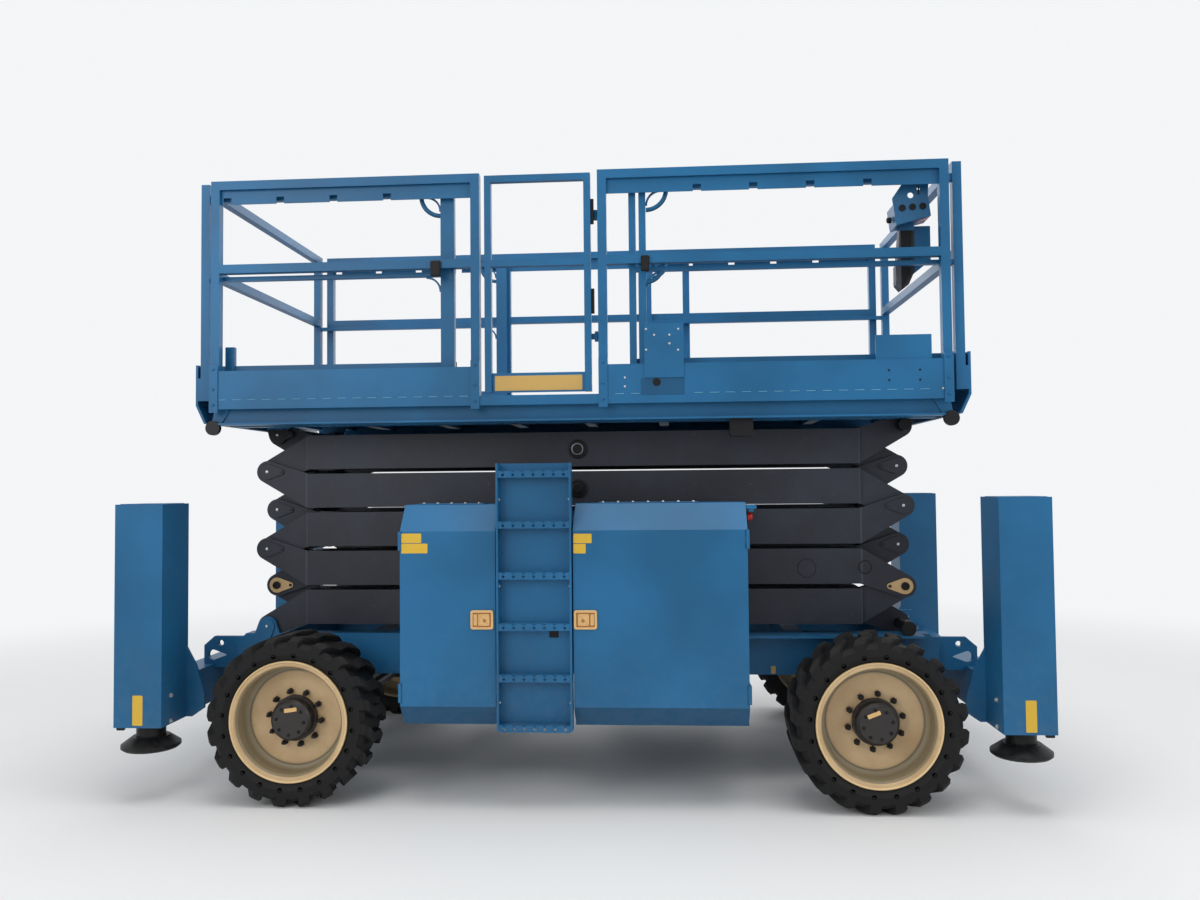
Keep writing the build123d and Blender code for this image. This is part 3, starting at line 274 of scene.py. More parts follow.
def arm_paint(name, gold_from=None, gold_side=0):
    finish = Finish(name)
    spot = finish.spot()
    x, y, z = finish.axes(spot)
    cloud = finish.noise(spot, 2.4, 5.0, 0.6)
    fine = finish.noise(spot, 38.0, 4.0, 0.6)
    seam = finish.ramp(0.006 - abs(abs(x) - beam_end), 0.0, 0.003)
    tone = finish.mix(finish.ramp(cloud, 0.3, 0.7), colour(26, 28, 37), colour(42, 46, 58))
    tone = finish.mix(finish.ramp(fine, 0.62, 0.85) * 0.35, tone, colour(104, 102, 98))
    tone = finish.mix(seam * 0.5, tone, colour(74, 78, 90))
    rough = 0.34 + 0.22 * cloud + 0.08 * fine
    metal = 0.0
    if gold_from is not None:
        gold = (abs(y) > gold_from) * (gold_side * x > tip_from)
        tone = finish.mix(gold, tone, colour(190, 160, 116))
        rough = rough * (1 - gold) + 0.38 * gold
        metal = gold * 0.5
    finish.set(Base_Color=tone, Roughness=rough, Metallic=metal, Specular_IOR_Level=0.4)
    ripple = finish.noise(spot, 60.0, 2.0) * 0.4 + seam * finish.noise(spot, 190.0, 1.0) * 3.0
    finish.bump(ripple, 0.25, 0.0015)
    return finish.material


arm_grey = arm_paint("arm_grey")
arm_gold_right = arm_paint("arm_grey_gold_right", outer_face - plate_thickness, 1)
arm_gold_left = arm_paint("arm_grey_gold_left", inner_face - plate_thickness, -1)
print("arm paint", arm_grey.name, "with gold beyond", tip_from, "m")

# %% [markdown]
# Rubber is never quite black. It is cloudy, the lugs are scuffed to a dusty grey on their faces,
# and fine mould lines run round the sidewall. The wheels stand at two places that lie the same
# distance from one middle, so one distance formula, from the nearer axle, serves all four.

# %% Tyre rubber
left_axle, right_axle = pivots["roll_near_left"][0], pivots["roll_near_right"][0]
axle_middle = round((right_axle + left_axle) / 2, 4)
axle_half_span = round((right_axle - left_axle) / 2, 4)
axle_height = pivots["roll_near_left"][2]
lug_face, sidewall_edge = (0.396, 0.414), 0.372


def from_axle(x, z):
    along = abs(x - axle_middle) - axle_half_span
    rise = z - axle_height
    return (along * along + rise * rise).root()


def rubber():
    finish = Finish("rubber")
    spot = finish.spot()
    x, y, z = finish.axes(spot)
    radius = from_axle(x, z)
    cloud = finish.noise(spot, 7.0, 5.0, 0.6)
    grain = finish.noise(spot, 260.0, 2.0)
    worn = finish.ramp(radius, *lug_face) * finish.ramp(cloud, 0.3, 0.7)
    rings = finish.ramp((radius * 420.0).sine(), 0.55, 1.0) * (radius < sidewall_edge)
    tone = finish.mix(cloud, colour(13, 13, 14), colour(24, 24, 25))
    tone = finish.mix(worn * 0.5, tone, colour(60, 58, 55))
    rough = 0.62 + 0.25 * worn + 0.1 * grain
    finish.set(Base_Color=tone, Roughness=rough, Specular_IOR_Level=0.25)
    finish.bump(grain * 0.25 + rings, 0.35, 0.0012)
    return finish.material


tyre_rubber = rubber()
print("axles at", left_axle, "and", right_axle, "m, tyres in", tyre_rubber.name)

# %% [markdown]
# A rim is painted cream, with grime in patches, painted shade in the well behind the outer edge
# and a painted shadow line where the disc meets the barrel. The hub in its middle is black. All of
# these are rings round the axle, so the same distance formula tells them apart.

# %% Rims with their black hubs
hub_radius, hub_from_y = 0.1135, 1.016
well_radius, well_to_y = (0.222, 0.240), 1.122
disc_edge, disc_edge_to_y = 0.236, 1.03


def rim_paint():
    finish = Finish("rim_paint")
    spot = finish.spot()
    x, y, z = finish.axes(spot)
    radius, out = from_axle(x, z), abs(y)
    cloud = finish.noise(spot, 5.0, 4.0)
    hub = (radius < hub_radius) * (out > hub_from_y)
    tone = finish.mix(finish.ramp(cloud, 0.3, 0.7), colour(188, 157, 116), colour(208, 180, 138))
    grime = finish.ramp(finish.noise(spot, 31.0, 5.0, 0.7), 0.55, 0.8)
    tone = finish.mix(grime * 0.3, tone, colour(120, 102, 74))
    # Painted shade: the well between the disc and the outer edge is mixed towards a dull
    # grey-green.
    well_shade = finish.ramp(radius, *well_radius) * (out < well_to_y)
    tone = finish.mix(well_shade * 0.75, tone, colour(112, 108, 88))
    # Painted shadow: a dark line round the disc's edge, where the disc meets the barrel.
    gap_shadow = 1 - finish.ramp(abs(radius - disc_edge), 0.0, 0.006)
    tone = finish.mix(gap_shadow * 0.6 * (out < disc_edge_to_y), tone, colour(62, 56, 44))
    tone = finish.mix(hub, tone, colour(34, 30, 28))
    finish.set(Base_Color=tone, Roughness=0.4 + 0.15 * cloud - 0.05 * hub)
    finish.bump(finish.noise(spot, 380.0, 1.0), 0.12, 0.0006)
    return finish.material


rim_cream = rim_paint()
print("rims in", rim_cream.name)

# %% [markdown]
# Bare metal comes in three kinds here: ground and chromed cylinder rods, zinc bolts, and the
# dark steel of the ring on the top pivot. All are the same metal shader with a different grain,
# so one function makes them. Moulded plastic, rubber plugs and thin stickers are close enough to
# one another for a second function.


# %% Bare metals and plastics
def metal(name, tone, roughness, grain):
    finish = Finish(name)
    scratch = finish.noise(finish.spot(), grain, 4.0, 0.7)
    finish.set(
        Base_Color=finish.mix(scratch, shade(tone, 0.75), tone),
        Roughness=roughness + 0.15 * scratch,
        Metallic=1.0,
    )
    finish.bump(scratch, 0.08, 0.0004)
    return finish.material


def plastic(name, tone, roughness=0.5, shine=0.4):
    finish = Finish(name)
    spot = finish.spot()
    grain = finish.noise(spot, 500.0, 2.0)
    mottled = finish.mix(finish.noise(spot, 9.0, 3.0), tone, shade(tone, 1.25))
    rough = roughness + 0.1 * grain
    finish.set(Base_Color=mottled, Roughness=rough, Specular_IOR_Level=shine)
    finish.bump(grain, 0.2, 0.0004)
    return finish.material


chrome = metal("chrome", (0.78, 0.78, 0.80), 0.12, 90.0)
zinc = metal("zinc", (0.62, 0.62, 0.60), 0.32, 140.0)
dark_steel = metal("dark_steel", (0.20, 0.21, 0.26), 0.3, 120.0)
black_plastic = plastic("black_plastic", colour(17, 17, 20), 0.5, 0.25)
latch_cream = plastic("latch_cream", colour(208, 168, 112), 0.36)
# A darker copy of the latch plastic: painted shade for the latches' sunk pans.
latch_shade = plastic("latch_shade", colour(168, 114, 56), 0.4)
lamp_red = plastic("lamp_red", colour(176, 24, 20), 0.2)
holder_grey = plastic("holder_grey", colour(70, 72, 78), 0.5)
sticker_pink = plastic("sticker_pink", colour(186, 132, 150), 0.4)
# Near-black with no shine: painted shade for the insides of the tyres' holes.
hole_black = plastic("hole_black", colour(3, 3, 4), 0.9, 0.02)
battery_case = plastic("battery_case", colour(44, 46, 50), 0.55)
print("metals", chrome.name, zinc.name, dark_steel.name)

# %% [markdown]
# The deck is blue like the rest, but people stand on it, so its floor has raised tread bars. They
# are too many to model, and a bump made of two crossed waves gives them: the bars lie one way in
# one square and the other way in the next. Only what faces up at the floor's height gets them.
# The rollers at the deck's ends and the beams under it are black.

# %% Deck paint with tread bars on the floor
deck_floor = highest("deck", "Z")
extension_rise = 0.02           # an extension's floor lies on the deck's
roller_x, roller_z, roller_radius, beam_top = 1.897, 1.884, 0.0385, 1.8975
tread_pitch = 0.036


def deck_paint(name, floor_height):
    finish = Finish(name)
    spot, up = finish.spot(), finish.up()
    x, y, z = finish.axes(spot)
    cloud = finish.noise(spot, 1.6, 4.0)
    floor = (up > 0.9) * (z > floor_height - 0.010) * (z < floor_height + 0.005)
    wave = 2 * pi / tread_pitch
    first = (x * wave).sine() * (y * wave * 0.5).sine()
    second = (x * wave * 0.5).sine() * (y * wave).sine()
    bars = finish.ramp(first, 0.55, 0.8) + finish.ramp(second, 0.55, 0.8)
    scuff = floor * finish.ramp(finish.noise(spot, 9.0, 6.0, 0.7), 0.4, 0.7)
    tone = finish.mix(scuff * 0.5, finish.drifting(cloud, blue_tone), colour(112, 118, 120))
    along, rise = abs(x) - roller_x, z - roller_z
    roller = (along * along + rise * rise).root() < roller_radius
    tone = finish.mix((roller + (z < beam_top)).clamp(), tone, colour(14, 14, 17))
    rough = 0.36 + 0.1 * cloud + 0.25 * scuff
    finish.set(Base_Color=tone, Roughness=rough, Specular_IOR_Level=0.32)
    peel = finish.noise(spot, 420.0, 1.0) * 0.05
    finish.bump(bars.clamp() * floor + peel, 0.5, 0.002)
    return finish.material


deck_blue = deck_paint("deck_blue", deck_floor)
extension_blue = deck_paint("extension_blue", deck_floor + extension_rise)
print("deck paint", deck_blue.name, "with its floor at", deck_floor, "m")

# %% [markdown]
# The control box and the holder under it are one solid, in two colours on the real machine. The
# paint tells them apart by height: below the box it is the holder's grey sheet, and the rubber on
# the holder's outer edge is nearly black.

# %% Control box paint
box_bottom, holder_rubber_from = 2.872, 1.705


def control_box_paint():
    finish = Finish("control_box_paint")
    spot = finish.spot()
    x, y, z = finish.axes(spot)
    cloud = finish.noise(spot, 3.0, 4.0)
    holder = finish.mix(x > holder_rubber_from, colour(70, 72, 78), colour(22, 22, 24))
    below = z < box_bottom
    tone = finish.mix(below, finish.drifting(cloud, blue_tone), holder)
    finish.set(Base_Color=tone, Roughness=0.38 + 0.1 * cloud + 0.12 * below)
    finish.bump(finish.noise(spot, 300.0, 2.0), 0.1, 0.0005)
    return finish.material


box_blue = control_box_paint()
print("control box paint", box_blue.name)

# %% [markdown]
# Each solid piece now gets its finish. The record names a slot for each node, but one slot can
# cover pieces that look different, so a short list of name beginnings decides, first match wins.

# %% Finishes on the solid pieces
finishes = [
    ("tyre", tyre_rubber), ("rim_", rim_cream), ("outer_arms_2", arm_gold_right),
    ("inner_arms_2", arm_gold_left), ("outer_arms", arm_grey), ("inner_arms", arm_grey),
    ("barrel", black), ("rod_", chrome), ("lower_rollers", black), ("upper_rollers", black),
    ("leg_", black), ("fixed_axle", black), ("steer_axle", black), ("knuckle", black),
    ("tie_rod", black), ("batteries", battery_case), ("switch_box", black_plastic),
    ("deck", deck_blue), ("extension", extension_blue), ("control_box", box_blue),
]
for name, node in frame["nodes"].items():
    chosen = next((paint for start, paint in finishes if name.startswith(start)), blue)
    node.data.materials.clear()
    node.data.materials.append(chosen)
print("finished", len(frame["nodes"]), "solid pieces")

# %% [markdown]
# The small pieces are shaped by hand: a primitive is put at its place and size, then its edges
# are broken, or a face is inset and pushed. The steps that come back each time become short
# helpers. The first ones give a clean start, select by a test, break edges and push a face.


# %% Selecting, breaking edges and pushing faces
def bare():
    if bpy.context.object and bpy.context.object.mode != "OBJECT":
        bpy.ops.object.mode_set(mode="OBJECT")
    bpy.ops.object.select_all(action="DESELECT")


def pick(piece, kind, test):
    # Leaves the piece in edit mode with the faces, edges or points selected that pass the test
    bpy.ops.object.mode_set(mode="EDIT")
    bpy.ops.mesh.select_mode(type=kind)
    bpy.ops.mesh.select_all(action="DESELECT")
    bpy.ops.object.mode_set(mode="OBJECT")
    mesh = piece.data
    for item in {"FACE": mesh.polygons, "EDGE": mesh.edges, "VERT": mesh.vertices}[kind]:
        item.select = bool(test(item))
    bpy.ops.object.mode_set(mode="EDIT")


def runs_along(piece, axis):
    def test(edge):
        first, last = (piece.data.vertices[index].co for index in edge.vertices)
        return abs((last - first).normalized()[axis]) > 0.99
    return test


def break_edges(width, segments=1):
    bpy.ops.object.mode_set(mode="EDIT")
    bpy.ops.mesh.select_all(action="SELECT")
    bpy.ops.mesh.bevel(offset=width, segments=segments, affect="EDGES", clamp_overlap=True)
    bpy.ops.object.mode_set(mode="OBJECT")


def push_face(piece, direction, inset, depth):
    # Insets the largest face that looks in a direction and moves it along its normal
    facing = Vector(direction)
    seen = [face for face in piece.data.polygons if face.normal.dot(facing) > 0.99]
    largest = max(seen, key=lambda face: face.area).index
    pick(piece, "FACE", lambda face: face.index == largest)
    bpy.ops.mesh.inset(thickness=inset)
    bpy.ops.mesh.extrude_region_move(TRANSFORM_OT_translate={"value": facing * depth})
    bpy.ops.object.mode_set(mode="OBJECT")
    return piece


print("first helpers ready")

# %% [markdown]
# Nearly every small piece starts as one of four things: a block with round corners, a thin plate
# on the machine's near or far face, a round bar, or a small circle that is spun about an axis.
# The last gives a ring, and over part of a turn it gives a bent tube.


# %% Slabs, plates, rods and spun tubes
def slab(name, low, high, edge=0.001, corner=0.0, corner_axis=1):
    # A block between two corners, its edges along one axis rounded and then all edges broken
    bare()
    middle = [(a + b) / 2 for a, b in zip(low, high)]
    bpy.ops.mesh.primitive_cube_add(size=1, location=middle)
    piece = bpy.context.object
    piece.name = name
    piece.scale = [abs(b - a) for a, b in zip(low, high)]
    bpy.ops.object.transform_apply(location=True, rotation=True, scale=True)
    if corner:
        pick(piece, "EDGE", runs_along(piece, corner_axis))
        bpy.ops.mesh.bevel(offset=corner, segments=4, affect="EDGES")
        bpy.ops.object.mode_set(mode="OBJECT")
    if edge:
        break_edges(edge)
    return piece


def about(middle, half):
    return middle - half, middle + half


def plate(name, side, x, z, out, edge, corner):
    # A slab on a face that looks to one side: x, z and out are from and to, out from the middle
    (x_from, x_to), (z_from, z_to), (back, front) = x, z, out
    return slab(name, (x_from, side * back, z_from), (x_to, side * front, z_to), edge, corner)


def leaning_slab(name, low, high, picked, shift, edge=0.002, corner=0.0):
    # A slab with some of its points moved, as in sheet that is folded at a slant
    piece = slab(name, low, high, edge, corner, 2)
    pick(piece, "VERT", lambda point: picked(*point.co))
    bpy.ops.transform.translate(value=shift)
    bpy.ops.object.mode_set(mode="OBJECT")
    return piece


def rod(name, start, end, radius, points=20, edge=0.001):
    bare()
    start, end = Vector(start), Vector(end)
    tilt = (end - start).to_track_quat("Z", "Y").to_euler()
    bpy.ops.mesh.primitive_cylinder_add(
        vertices=points, radius=radius, depth=(end - start).length,
        location=(start + end) / 2, rotation=tilt,
    )
    piece = bpy.context.object
    piece.name = name
    bpy.ops.object.transform_apply(location=True, rotation=True, scale=True)
    if edge:
        pick(piece, "FACE", lambda face: len(face.vertices) > 4)
        bpy.ops.mesh.region_to_loop()
        bpy.ops.mesh.bevel(offset=edge, segments=2, affect="EDGES")
        bpy.ops.object.mode_set(mode="OBJECT")
    return piece


def spun_tube(name, centre, radius, thickness, points, steps, angle=2 * pi):
    # A circle spun about the Y axis through a centre. A whole turn is merged where it meets, and
    # the ends of part of a turn are closed. A negative radius starts on the left.
    bare()
    x, y, z = centre
    bpy.ops.mesh.primitive_circle_add(
        vertices=points, radius=thickness, location=(x + radius, y, z),
    )
    tube = bpy.context.object
    tube.name = name
    bpy.ops.object.transform_apply(location=True, rotation=True, scale=True)
    bpy.ops.object.mode_set(mode="EDIT")
    bpy.ops.mesh.select_all(action="SELECT")
    bpy.ops.mesh.spin(steps=steps, angle=angle, center=centre, axis=(0, 1, 0))
    bpy.ops.mesh.select_all(action="SELECT")
    bpy.ops.mesh.remove_doubles(threshold=0.00005)
    bpy.ops.mesh.fill_holes(sides=0)
    bpy.ops.mesh.normals_make_consistent(inside=False)
    bpy.ops.object.mode_set(mode="OBJECT")
    return tube


print("shapes ready")

# %% [markdown]
# What repeats is modelled once, standing on the origin, and fitted as copies. Pieces that belong
# together become one, and the last step gives a piece its finish and names the body that it moves
# with.


# %% Joining, copying and the last step
def join(name, pieces):
    bare()
    for piece in pieces:
        piece.select_set(True)
    bpy.context.view_layer.objects.active = pieces[0]
    if len(pieces) > 1:
        bpy.ops.object.join()
    bpy.context.object.name = name
    return bpy.context.object


def scatter(name, source, places):
    # Copies of one piece at (place, direction), each with its own mesh, as one piece. The source
    # stands along +Z and is turned to the direction, or not turned where that is None.
    copies = []
    for place, facing in places:
        copy = source.copy()
        copy.data = source.data.copy()
        bpy.context.collection.objects.link(copy)
        copy.location = place
        if facing:
            copy.rotation_euler = Vector(facing).to_track_quat("Z", "Y").to_euler()
        copies.append(copy)
    return join(name, copies)


def done(piece, body, material, smooth=35):
    bare()
    piece.select_set(True)
    bpy.context.view_layer.objects.active = piece
    bpy.ops.object.transform_apply(location=True, rotation=True, scale=True)
    bpy.ops.object.shade_smooth_by_angle(angle=radians(smooth))
    piece.data.materials.clear()
    piece.data.materials.append(material)
    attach(piece, body)
    return piece


def fit(name, pattern, places, body="chassis", material=zinc, smooth=35):
    done(scatter(name, pattern, places), body, material, smooth)


def end_name(end):
    return "left" if end < 0 else "right"


sides = {"near": -1, "far": 1}
ends = (-1, 1)
corners = [(f"{side_name}_{end_name(end)}", side, end)
           for side_name, side in sides.items() for end in ends]
print("corners", [tag for tag, side, end in corners])

# %% [markdown]
# One hexagon bolt with its washer serves the whole machine in a few sizes. It is a six-sided
# cylinder whose top is inset and dropped a little, on a thin round washer. The wheel's stud, the
# pivot's cap and ring, the pin's end and the tyre's hole are made from the same two steps.


# %% Bolts, studs, caps and a tyre hole
def bolt(name, width, height):
    washer = rod("washer", (0, 0, 0), (0, 0, height * 0.3), width * 0.72, 16, height * 0.08)
    head = rod("head", (0, 0, height * 0.25), (0, 0, height), width / 2, 6, height * 0.1)
    push_face(head, (0, 0, 1), width * 0.1, -height * 0.12)
    return join(name, [washer, head])


def turned(name, bottom, top, radius, points, edge, inset=0.0, depth=0.0):
    # A round or many-sided piece on the Z axis, with its top pushed in
    piece = rod(name, (0, 0, bottom), (0, 0, top), radius, points, edge)
    return push_face(piece, (0, 0, 1), inset, depth) if inset else piece


tiny_bolt = bolt("tiny_bolt", 0.0075, 0.004)
nipple = bolt("nipple", 0.0105, 0.007)
small_bolt = bolt("small_bolt", 0.012, 0.006)
middle_bolt = bolt("middle_bolt", 0.020, 0.009)

stud_nut = turned("stud_nut", 0, 0.020, 0.0155, 6, 0.002)
shank = turned("stud_shank", 0.018, 0.042, 0.0085, 12, 0.002)
wheel_stud = join("wheel_stud", [stud_nut, shank])

cap = turned("cap", 0, 0.006, 0.050, 32, 0.0015, 0.010, -0.002)
centre_nut = turned("centre_nut", 0.002, 0.013, 0.034, 6, 0.002, 0.009, -0.003)
pivot_cap = join("pivot_cap", [cap, centre_nut])

bright_ring = turned("bright_ring", 0.003, 0.015, 0.0325, 32, 0.001, 0.005, -0.006)
tyre_hole = turned("tyre_hole", -0.001, 0.0009, 0.0115, 14, 0.0004, 0.0025, -0.0014)
pin_end = turned("pin_end", 0, 0.012, 0.021, 24, 0.0015, 0.006, -0.004)
patterns = [tiny_bolt, nipple, small_bolt, middle_bolt, wheel_stud, pivot_cap, bright_ring,
            tyre_hole, pin_end]
print("patterns", [piece.name for piece in patterns])

# %% [markdown]
# Each wheel is held by ten studs on a circle round its hub. The hub's end cover has a ring of
# small bolts and, on the near side, a blank plate, and the rim's outer edge is rolled to a round
# bead. The bead is a small circle spun about the wheel's axis, which is how such a ring is turned.
# The solid tyre has a ring of round holes in its sidewall, shown here as dished near-black discs
# whose black is painted shade for the inside of each hole.

# %% Wheel trim
disc_y, cover_y, bead_y, bead_radius = 1.015, 1.103, 1.1285, 0.2935
sidewall_y = highest("tyre_far_left", "Y")
wheel_turn = {-1: -6, 1: 12}    # degrees that the parked wheels have turned, by end
hub_plates = {-1: (0.003, 0.053, 8), 1: (-0.020, 0.048, 22)}    # x and z from the axle, tilt


def wheel_x(end):
    return axle_middle + end * axle_half_span


def ring_places(side, end, y, radius, count):
    angles = [radians(wheel_turn[end]) + 2 * pi * i / count for i in range(count)]
    return [((wheel_x(end) + radius * cos(angle), side * y, axle_height + radius * sin(angle)),
             (0, side, 0)) for angle in angles]


for tag, side, end in corners:
    body = f"wheel_{tag}"
    studs = ring_places(side, end, disc_y, 0.133, 10)
    fit(f"studs_{tag}", wheel_stud, studs, body, black)
    cover_bolts = ring_places(side, end, cover_y, 0.070, 8)
    fit(f"hub_bolts_{tag}", small_bolt, cover_bolts, body, black)
    centre = (wheel_x(end), side * bead_y, axle_height)
    bead = spun_tube(f"rim_bead_{tag}", centre, bead_radius, 0.0055, 10, 64)
    done(bead, body, cream, 180)
    # Each hole is a near-black disc: painted shade for the hollow of the hole.
    holes = ring_places(side, end, sidewall_y, 0.328, 20)
    fit(f"sidewall_holes_{tag}", tyre_hole, holes, body, hole_black)
    if side > 0:
        continue
    along, rise, tilt = hub_plates[end]
    x, z = wheel_x(end) + along, axle_height + rise
    hub_plate = plate(f"hub_plate_{tag}", side, about(x, 0.032), about(z, 0.010),
                      (cover_y, cover_y + 0.0025), 0.0006, 0.003)
    bare()
    hub_plate.select_set(True)
    bpy.ops.transform.rotate(value=radians(tilt), orient_axis="Y",
                             center_override=(x, side * cover_y, z))
    done(hub_plate, body, latch_cream)
print("wheel trim on", len(corners), "wheels")

# %% [markdown]
# Each cabinet door has a recessed paddle latch beside the ladder. Its pan is pressed from sheet:
# a frame with round corners, an inset floor, and in it a paddle with a round lock. The door's own
# mesh stays closed, so the frame stands a centimetre proud and the pan is sunk into the frame.
# The pan and its lock are in a darker copy of the latch plastic: painted shade in the sunk pan.

# %% Paddle latches
door_face = -pivots["door_near_left_swing"][1]
latch_x, latch_z = {-1: -0.4265, 1: 0.0785}, 0.917
# Shift towards the hinge, half width, half height, back and front off the door, broken edge,
# round corner, and how far the front is inset and sunk
latch_plates = {
    "frame": (0, 0.056, 0.046, 0, 0.010, 0.0012, 0.011, 0.010, 0.0075),
    "pan": (0, 0.045, 0.0345, 0.002, 0.0032, 0.0004, 0.006, 0, 0),
    "paddle": (-0.010, 0.027, 0.0285, 0.003, 0.0085, 0.0012, 0.005, 0.005, 0.0015),
    "finger_rest": (0.033, 0.009, 0.027, 0.003, 0.0052, 0.0006, 0.003, 0, 0),
}


def paddle_latch(tag, side, hinge_end):
    x, body, made = latch_x[hinge_end], f"door_{tag}", {}
    for name, row in latch_plates.items():
        shift, width, height, back, front, edge, corner, inset, sink = row
        made[name] = plate(name, side, about(x + hinge_end * shift, width), about(latch_z, height),
                           (door_face + back, door_face + front), edge, corner)
        if inset:
            push_face(made[name], (0, side, 0), inset, -sink)
    lock_x, lock_z = x - hinge_end * 0.013, latch_z - 0.004
    lock = rod("lock", (lock_x, side * (door_face + 0.004), lock_z),
               (lock_x, side * (door_face + 0.0100), lock_z), 0.0085, 20, 0.001)
    push_face(lock, (0, side, 0), 0.0025, -0.001)
    # The pan and its lock take the darker copy: painted shade in the sunk pan.
    done(join(f"latch_{tag}_pan", [made["pan"], lock]), body, latch_shade)
    bright = [made["frame"], made["paddle"], made["finger_rest"]]
    done(join(f"latch_{tag}", bright), body, latch_cream)


for tag, side, end in corners:
    paddle_latch(tag, side, end)
print("latches", len(corners))

# %% [markdown]
# Thin enamelled plates lie on the doors, the outriggers, the gate and the frame, all of them
# blank. They could be painted on, but each is a slab a millimetre thick with round corners, so
# that its edge catches the light as a plate's does.

# %% Blank plates
blank_plates = (                # name, body, x from, x to, z from, z to, y behind, proud, finish
    ("plate_left_upper", "door_near_left", -0.826, -0.726, 1.2905, 1.337, 1.130, 0.0011, yellow),
    ("plate_left_lower", "door_near_left", -0.826, -0.695, 1.240, 1.2875, 1.130, 0.0011, yellow),
    ("plate_right_upper", "door_near_right", 0.022, 0.111, 1.2855, 1.331, 1.130, 0.0011, yellow),
    ("plate_right_lower", "door_near_right", 0.022, 0.082, 1.236, 1.2825, 1.130, 0.0011, yellow),
    ("plate_outrigger_left", "chassis", -2.178, -2.126, 0.397, 0.545, 1.145, 0.0006, yellow),
    ("plate_outrigger_right", "chassis", 2.131, 2.181, 0.397, 0.545, 1.145, 0.0006, yellow),
    ("plate_gate", "gate", -0.400, 0.052, 2.055, 2.132, 0.888, 0.0011, tan),
    ("plate_frame", "chassis", 1.012, 1.036, 0.566, 0.606, 0.620, 0.0011, tan),
)
for name, body, x_from, x_to, z_from, z_to, back, proud, paint in blank_plates:
    out = (back - 0.0004, back + proud)
    blank = plate(name, -1, (x_from, x_to), (z_from, z_to), out, 0.0002, 0.004)
    done(blank, body, paint)
print("blank plates", len(blank_plates))

# %% [markdown]
# The cabinets' roofs carry a bolted cover strip at the front edge, and hinge screws sit on the
# outer end walls. The strip is a slab with a broken edge, so it catches a thin line of light.

# %% Cabinet roofs and hinge screws
roof_z = highest("cabinets_near", "Z")
end_walls = {-1: pivots["door_near_left_swing"][0], 1: pivots["door_near_right_swing"][0]}
strips = {-1: (-0.775, -0.435, 5), 1: (0.128, 0.637, 7)}    # x from, x to, bolts
strip_thickness, strip_margin = 0.005, 0.03
strip_top = roof_z + strip_thickness
for side_name, side in sides.items():
    for end, (x_from, x_to, count) in strips.items():
        tag = f"{side_name}_{end_name(end)}"
        strip = slab(f"roof_strip_{tag}", (x_from, side * 0.86, roof_z),
                     (x_to, side * 1.012, strip_top), 0.0015, 0.006, 2)
        done(strip, "chassis", blue)
        step = (x_to - x_from - 2 * strip_margin) / (count - 1)
        places = [((x_from + strip_margin + i * step, side * 0.992, strip_top), (0, 0, 1))
                  for i in range(count)]
        fit(f"roof_bolts_{tag}", small_bolt, places)
    places = [((wall_x + end * 0.0005, side * 1.058, hinge_z + rise), (end, 0, 0))
              for end, wall_x in end_walls.items()
              for hinge_z in (0.56, 1.30) for rise in (-0.042, 0.0, 0.042)]
    fit(f"hinge_screws_{side_name}", small_bolt, places)
print("roof strips and hinge screws between", end_walls[-1], "and", end_walls[1], "m")

# %% [markdown]
# A red lamp hangs under a small bracket at the right end of the near cabinet. The bracket is a
# block with its underside pressed in. The lamp is a turned dome: a short cylinder whose front
# edge is rounded off until little of the flat is left.

# %% Red lamp
lamp_x, lamp_y, lamp_z = end_walls[1], -1.005, 1.404
bracket = slab("bracket", (lamp_x, lamp_y - 0.040, 1.442), (lamp_x + 0.052, lamp_y + 0.040, 1.462),
               0.002, 0.008, 1)
push_face(bracket, (0, 0, -1), 0.004, 0.012)
done(bracket, "chassis", blue)
socket_front = (lamp_x + 0.010, lamp_y, lamp_z)
lamp_base = rod("lamp_base", (lamp_x, lamp_y, lamp_z), socket_front, 0.024, 24)
done(lamp_base, "chassis", black_plastic)
lamp = rod("red_lamp", socket_front, (lamp_x + 0.034, lamp_y, lamp_z), 0.020, 24, 0)
pick(lamp, "FACE", lambda face: face.normal.x > 0.9)
bpy.ops.mesh.region_to_loop()
bpy.ops.mesh.bevel(offset=0.013, segments=5, affect="EDGES")
bpy.ops.object.mode_set(mode="OBJECT")
done(lamp, "chassis", lamp_red, 60)
print("lamp at", lamp_x, lamp_y, lamp_z)

# %% [markdown]
# The ladder's side rails are bolted to the machine, and a small black catch sits on its back
# sheet under the third rung from the bottom. The outrigger housings have two bolts near the foot
# on their inner faces, a cover plate on top and a tab at the outer bottom corner.

# %% Ladder and outrigger trim
ladder_rail = 0.010
rail_faces = ((lowest("ladder", "X") + ladder_rail, 1), (highest("ladder", "X") - ladder_rail, -1))
places = [((x, -1.112, z), (way, 0, 0)) for x, way in rail_faces for z in (0.515, 1.078, 1.500)]
fit("ladder_bolts", small_bolt, places)
catch = plate("ladder_catch", -1, (-0.104, -0.058), (0.824, 0.858), (1.085, 1.0875), 0.0006, 0.004)
push_face(catch, (0, -1, 0), 0.004, 0.001)
done(catch, "chassis", black_plastic)

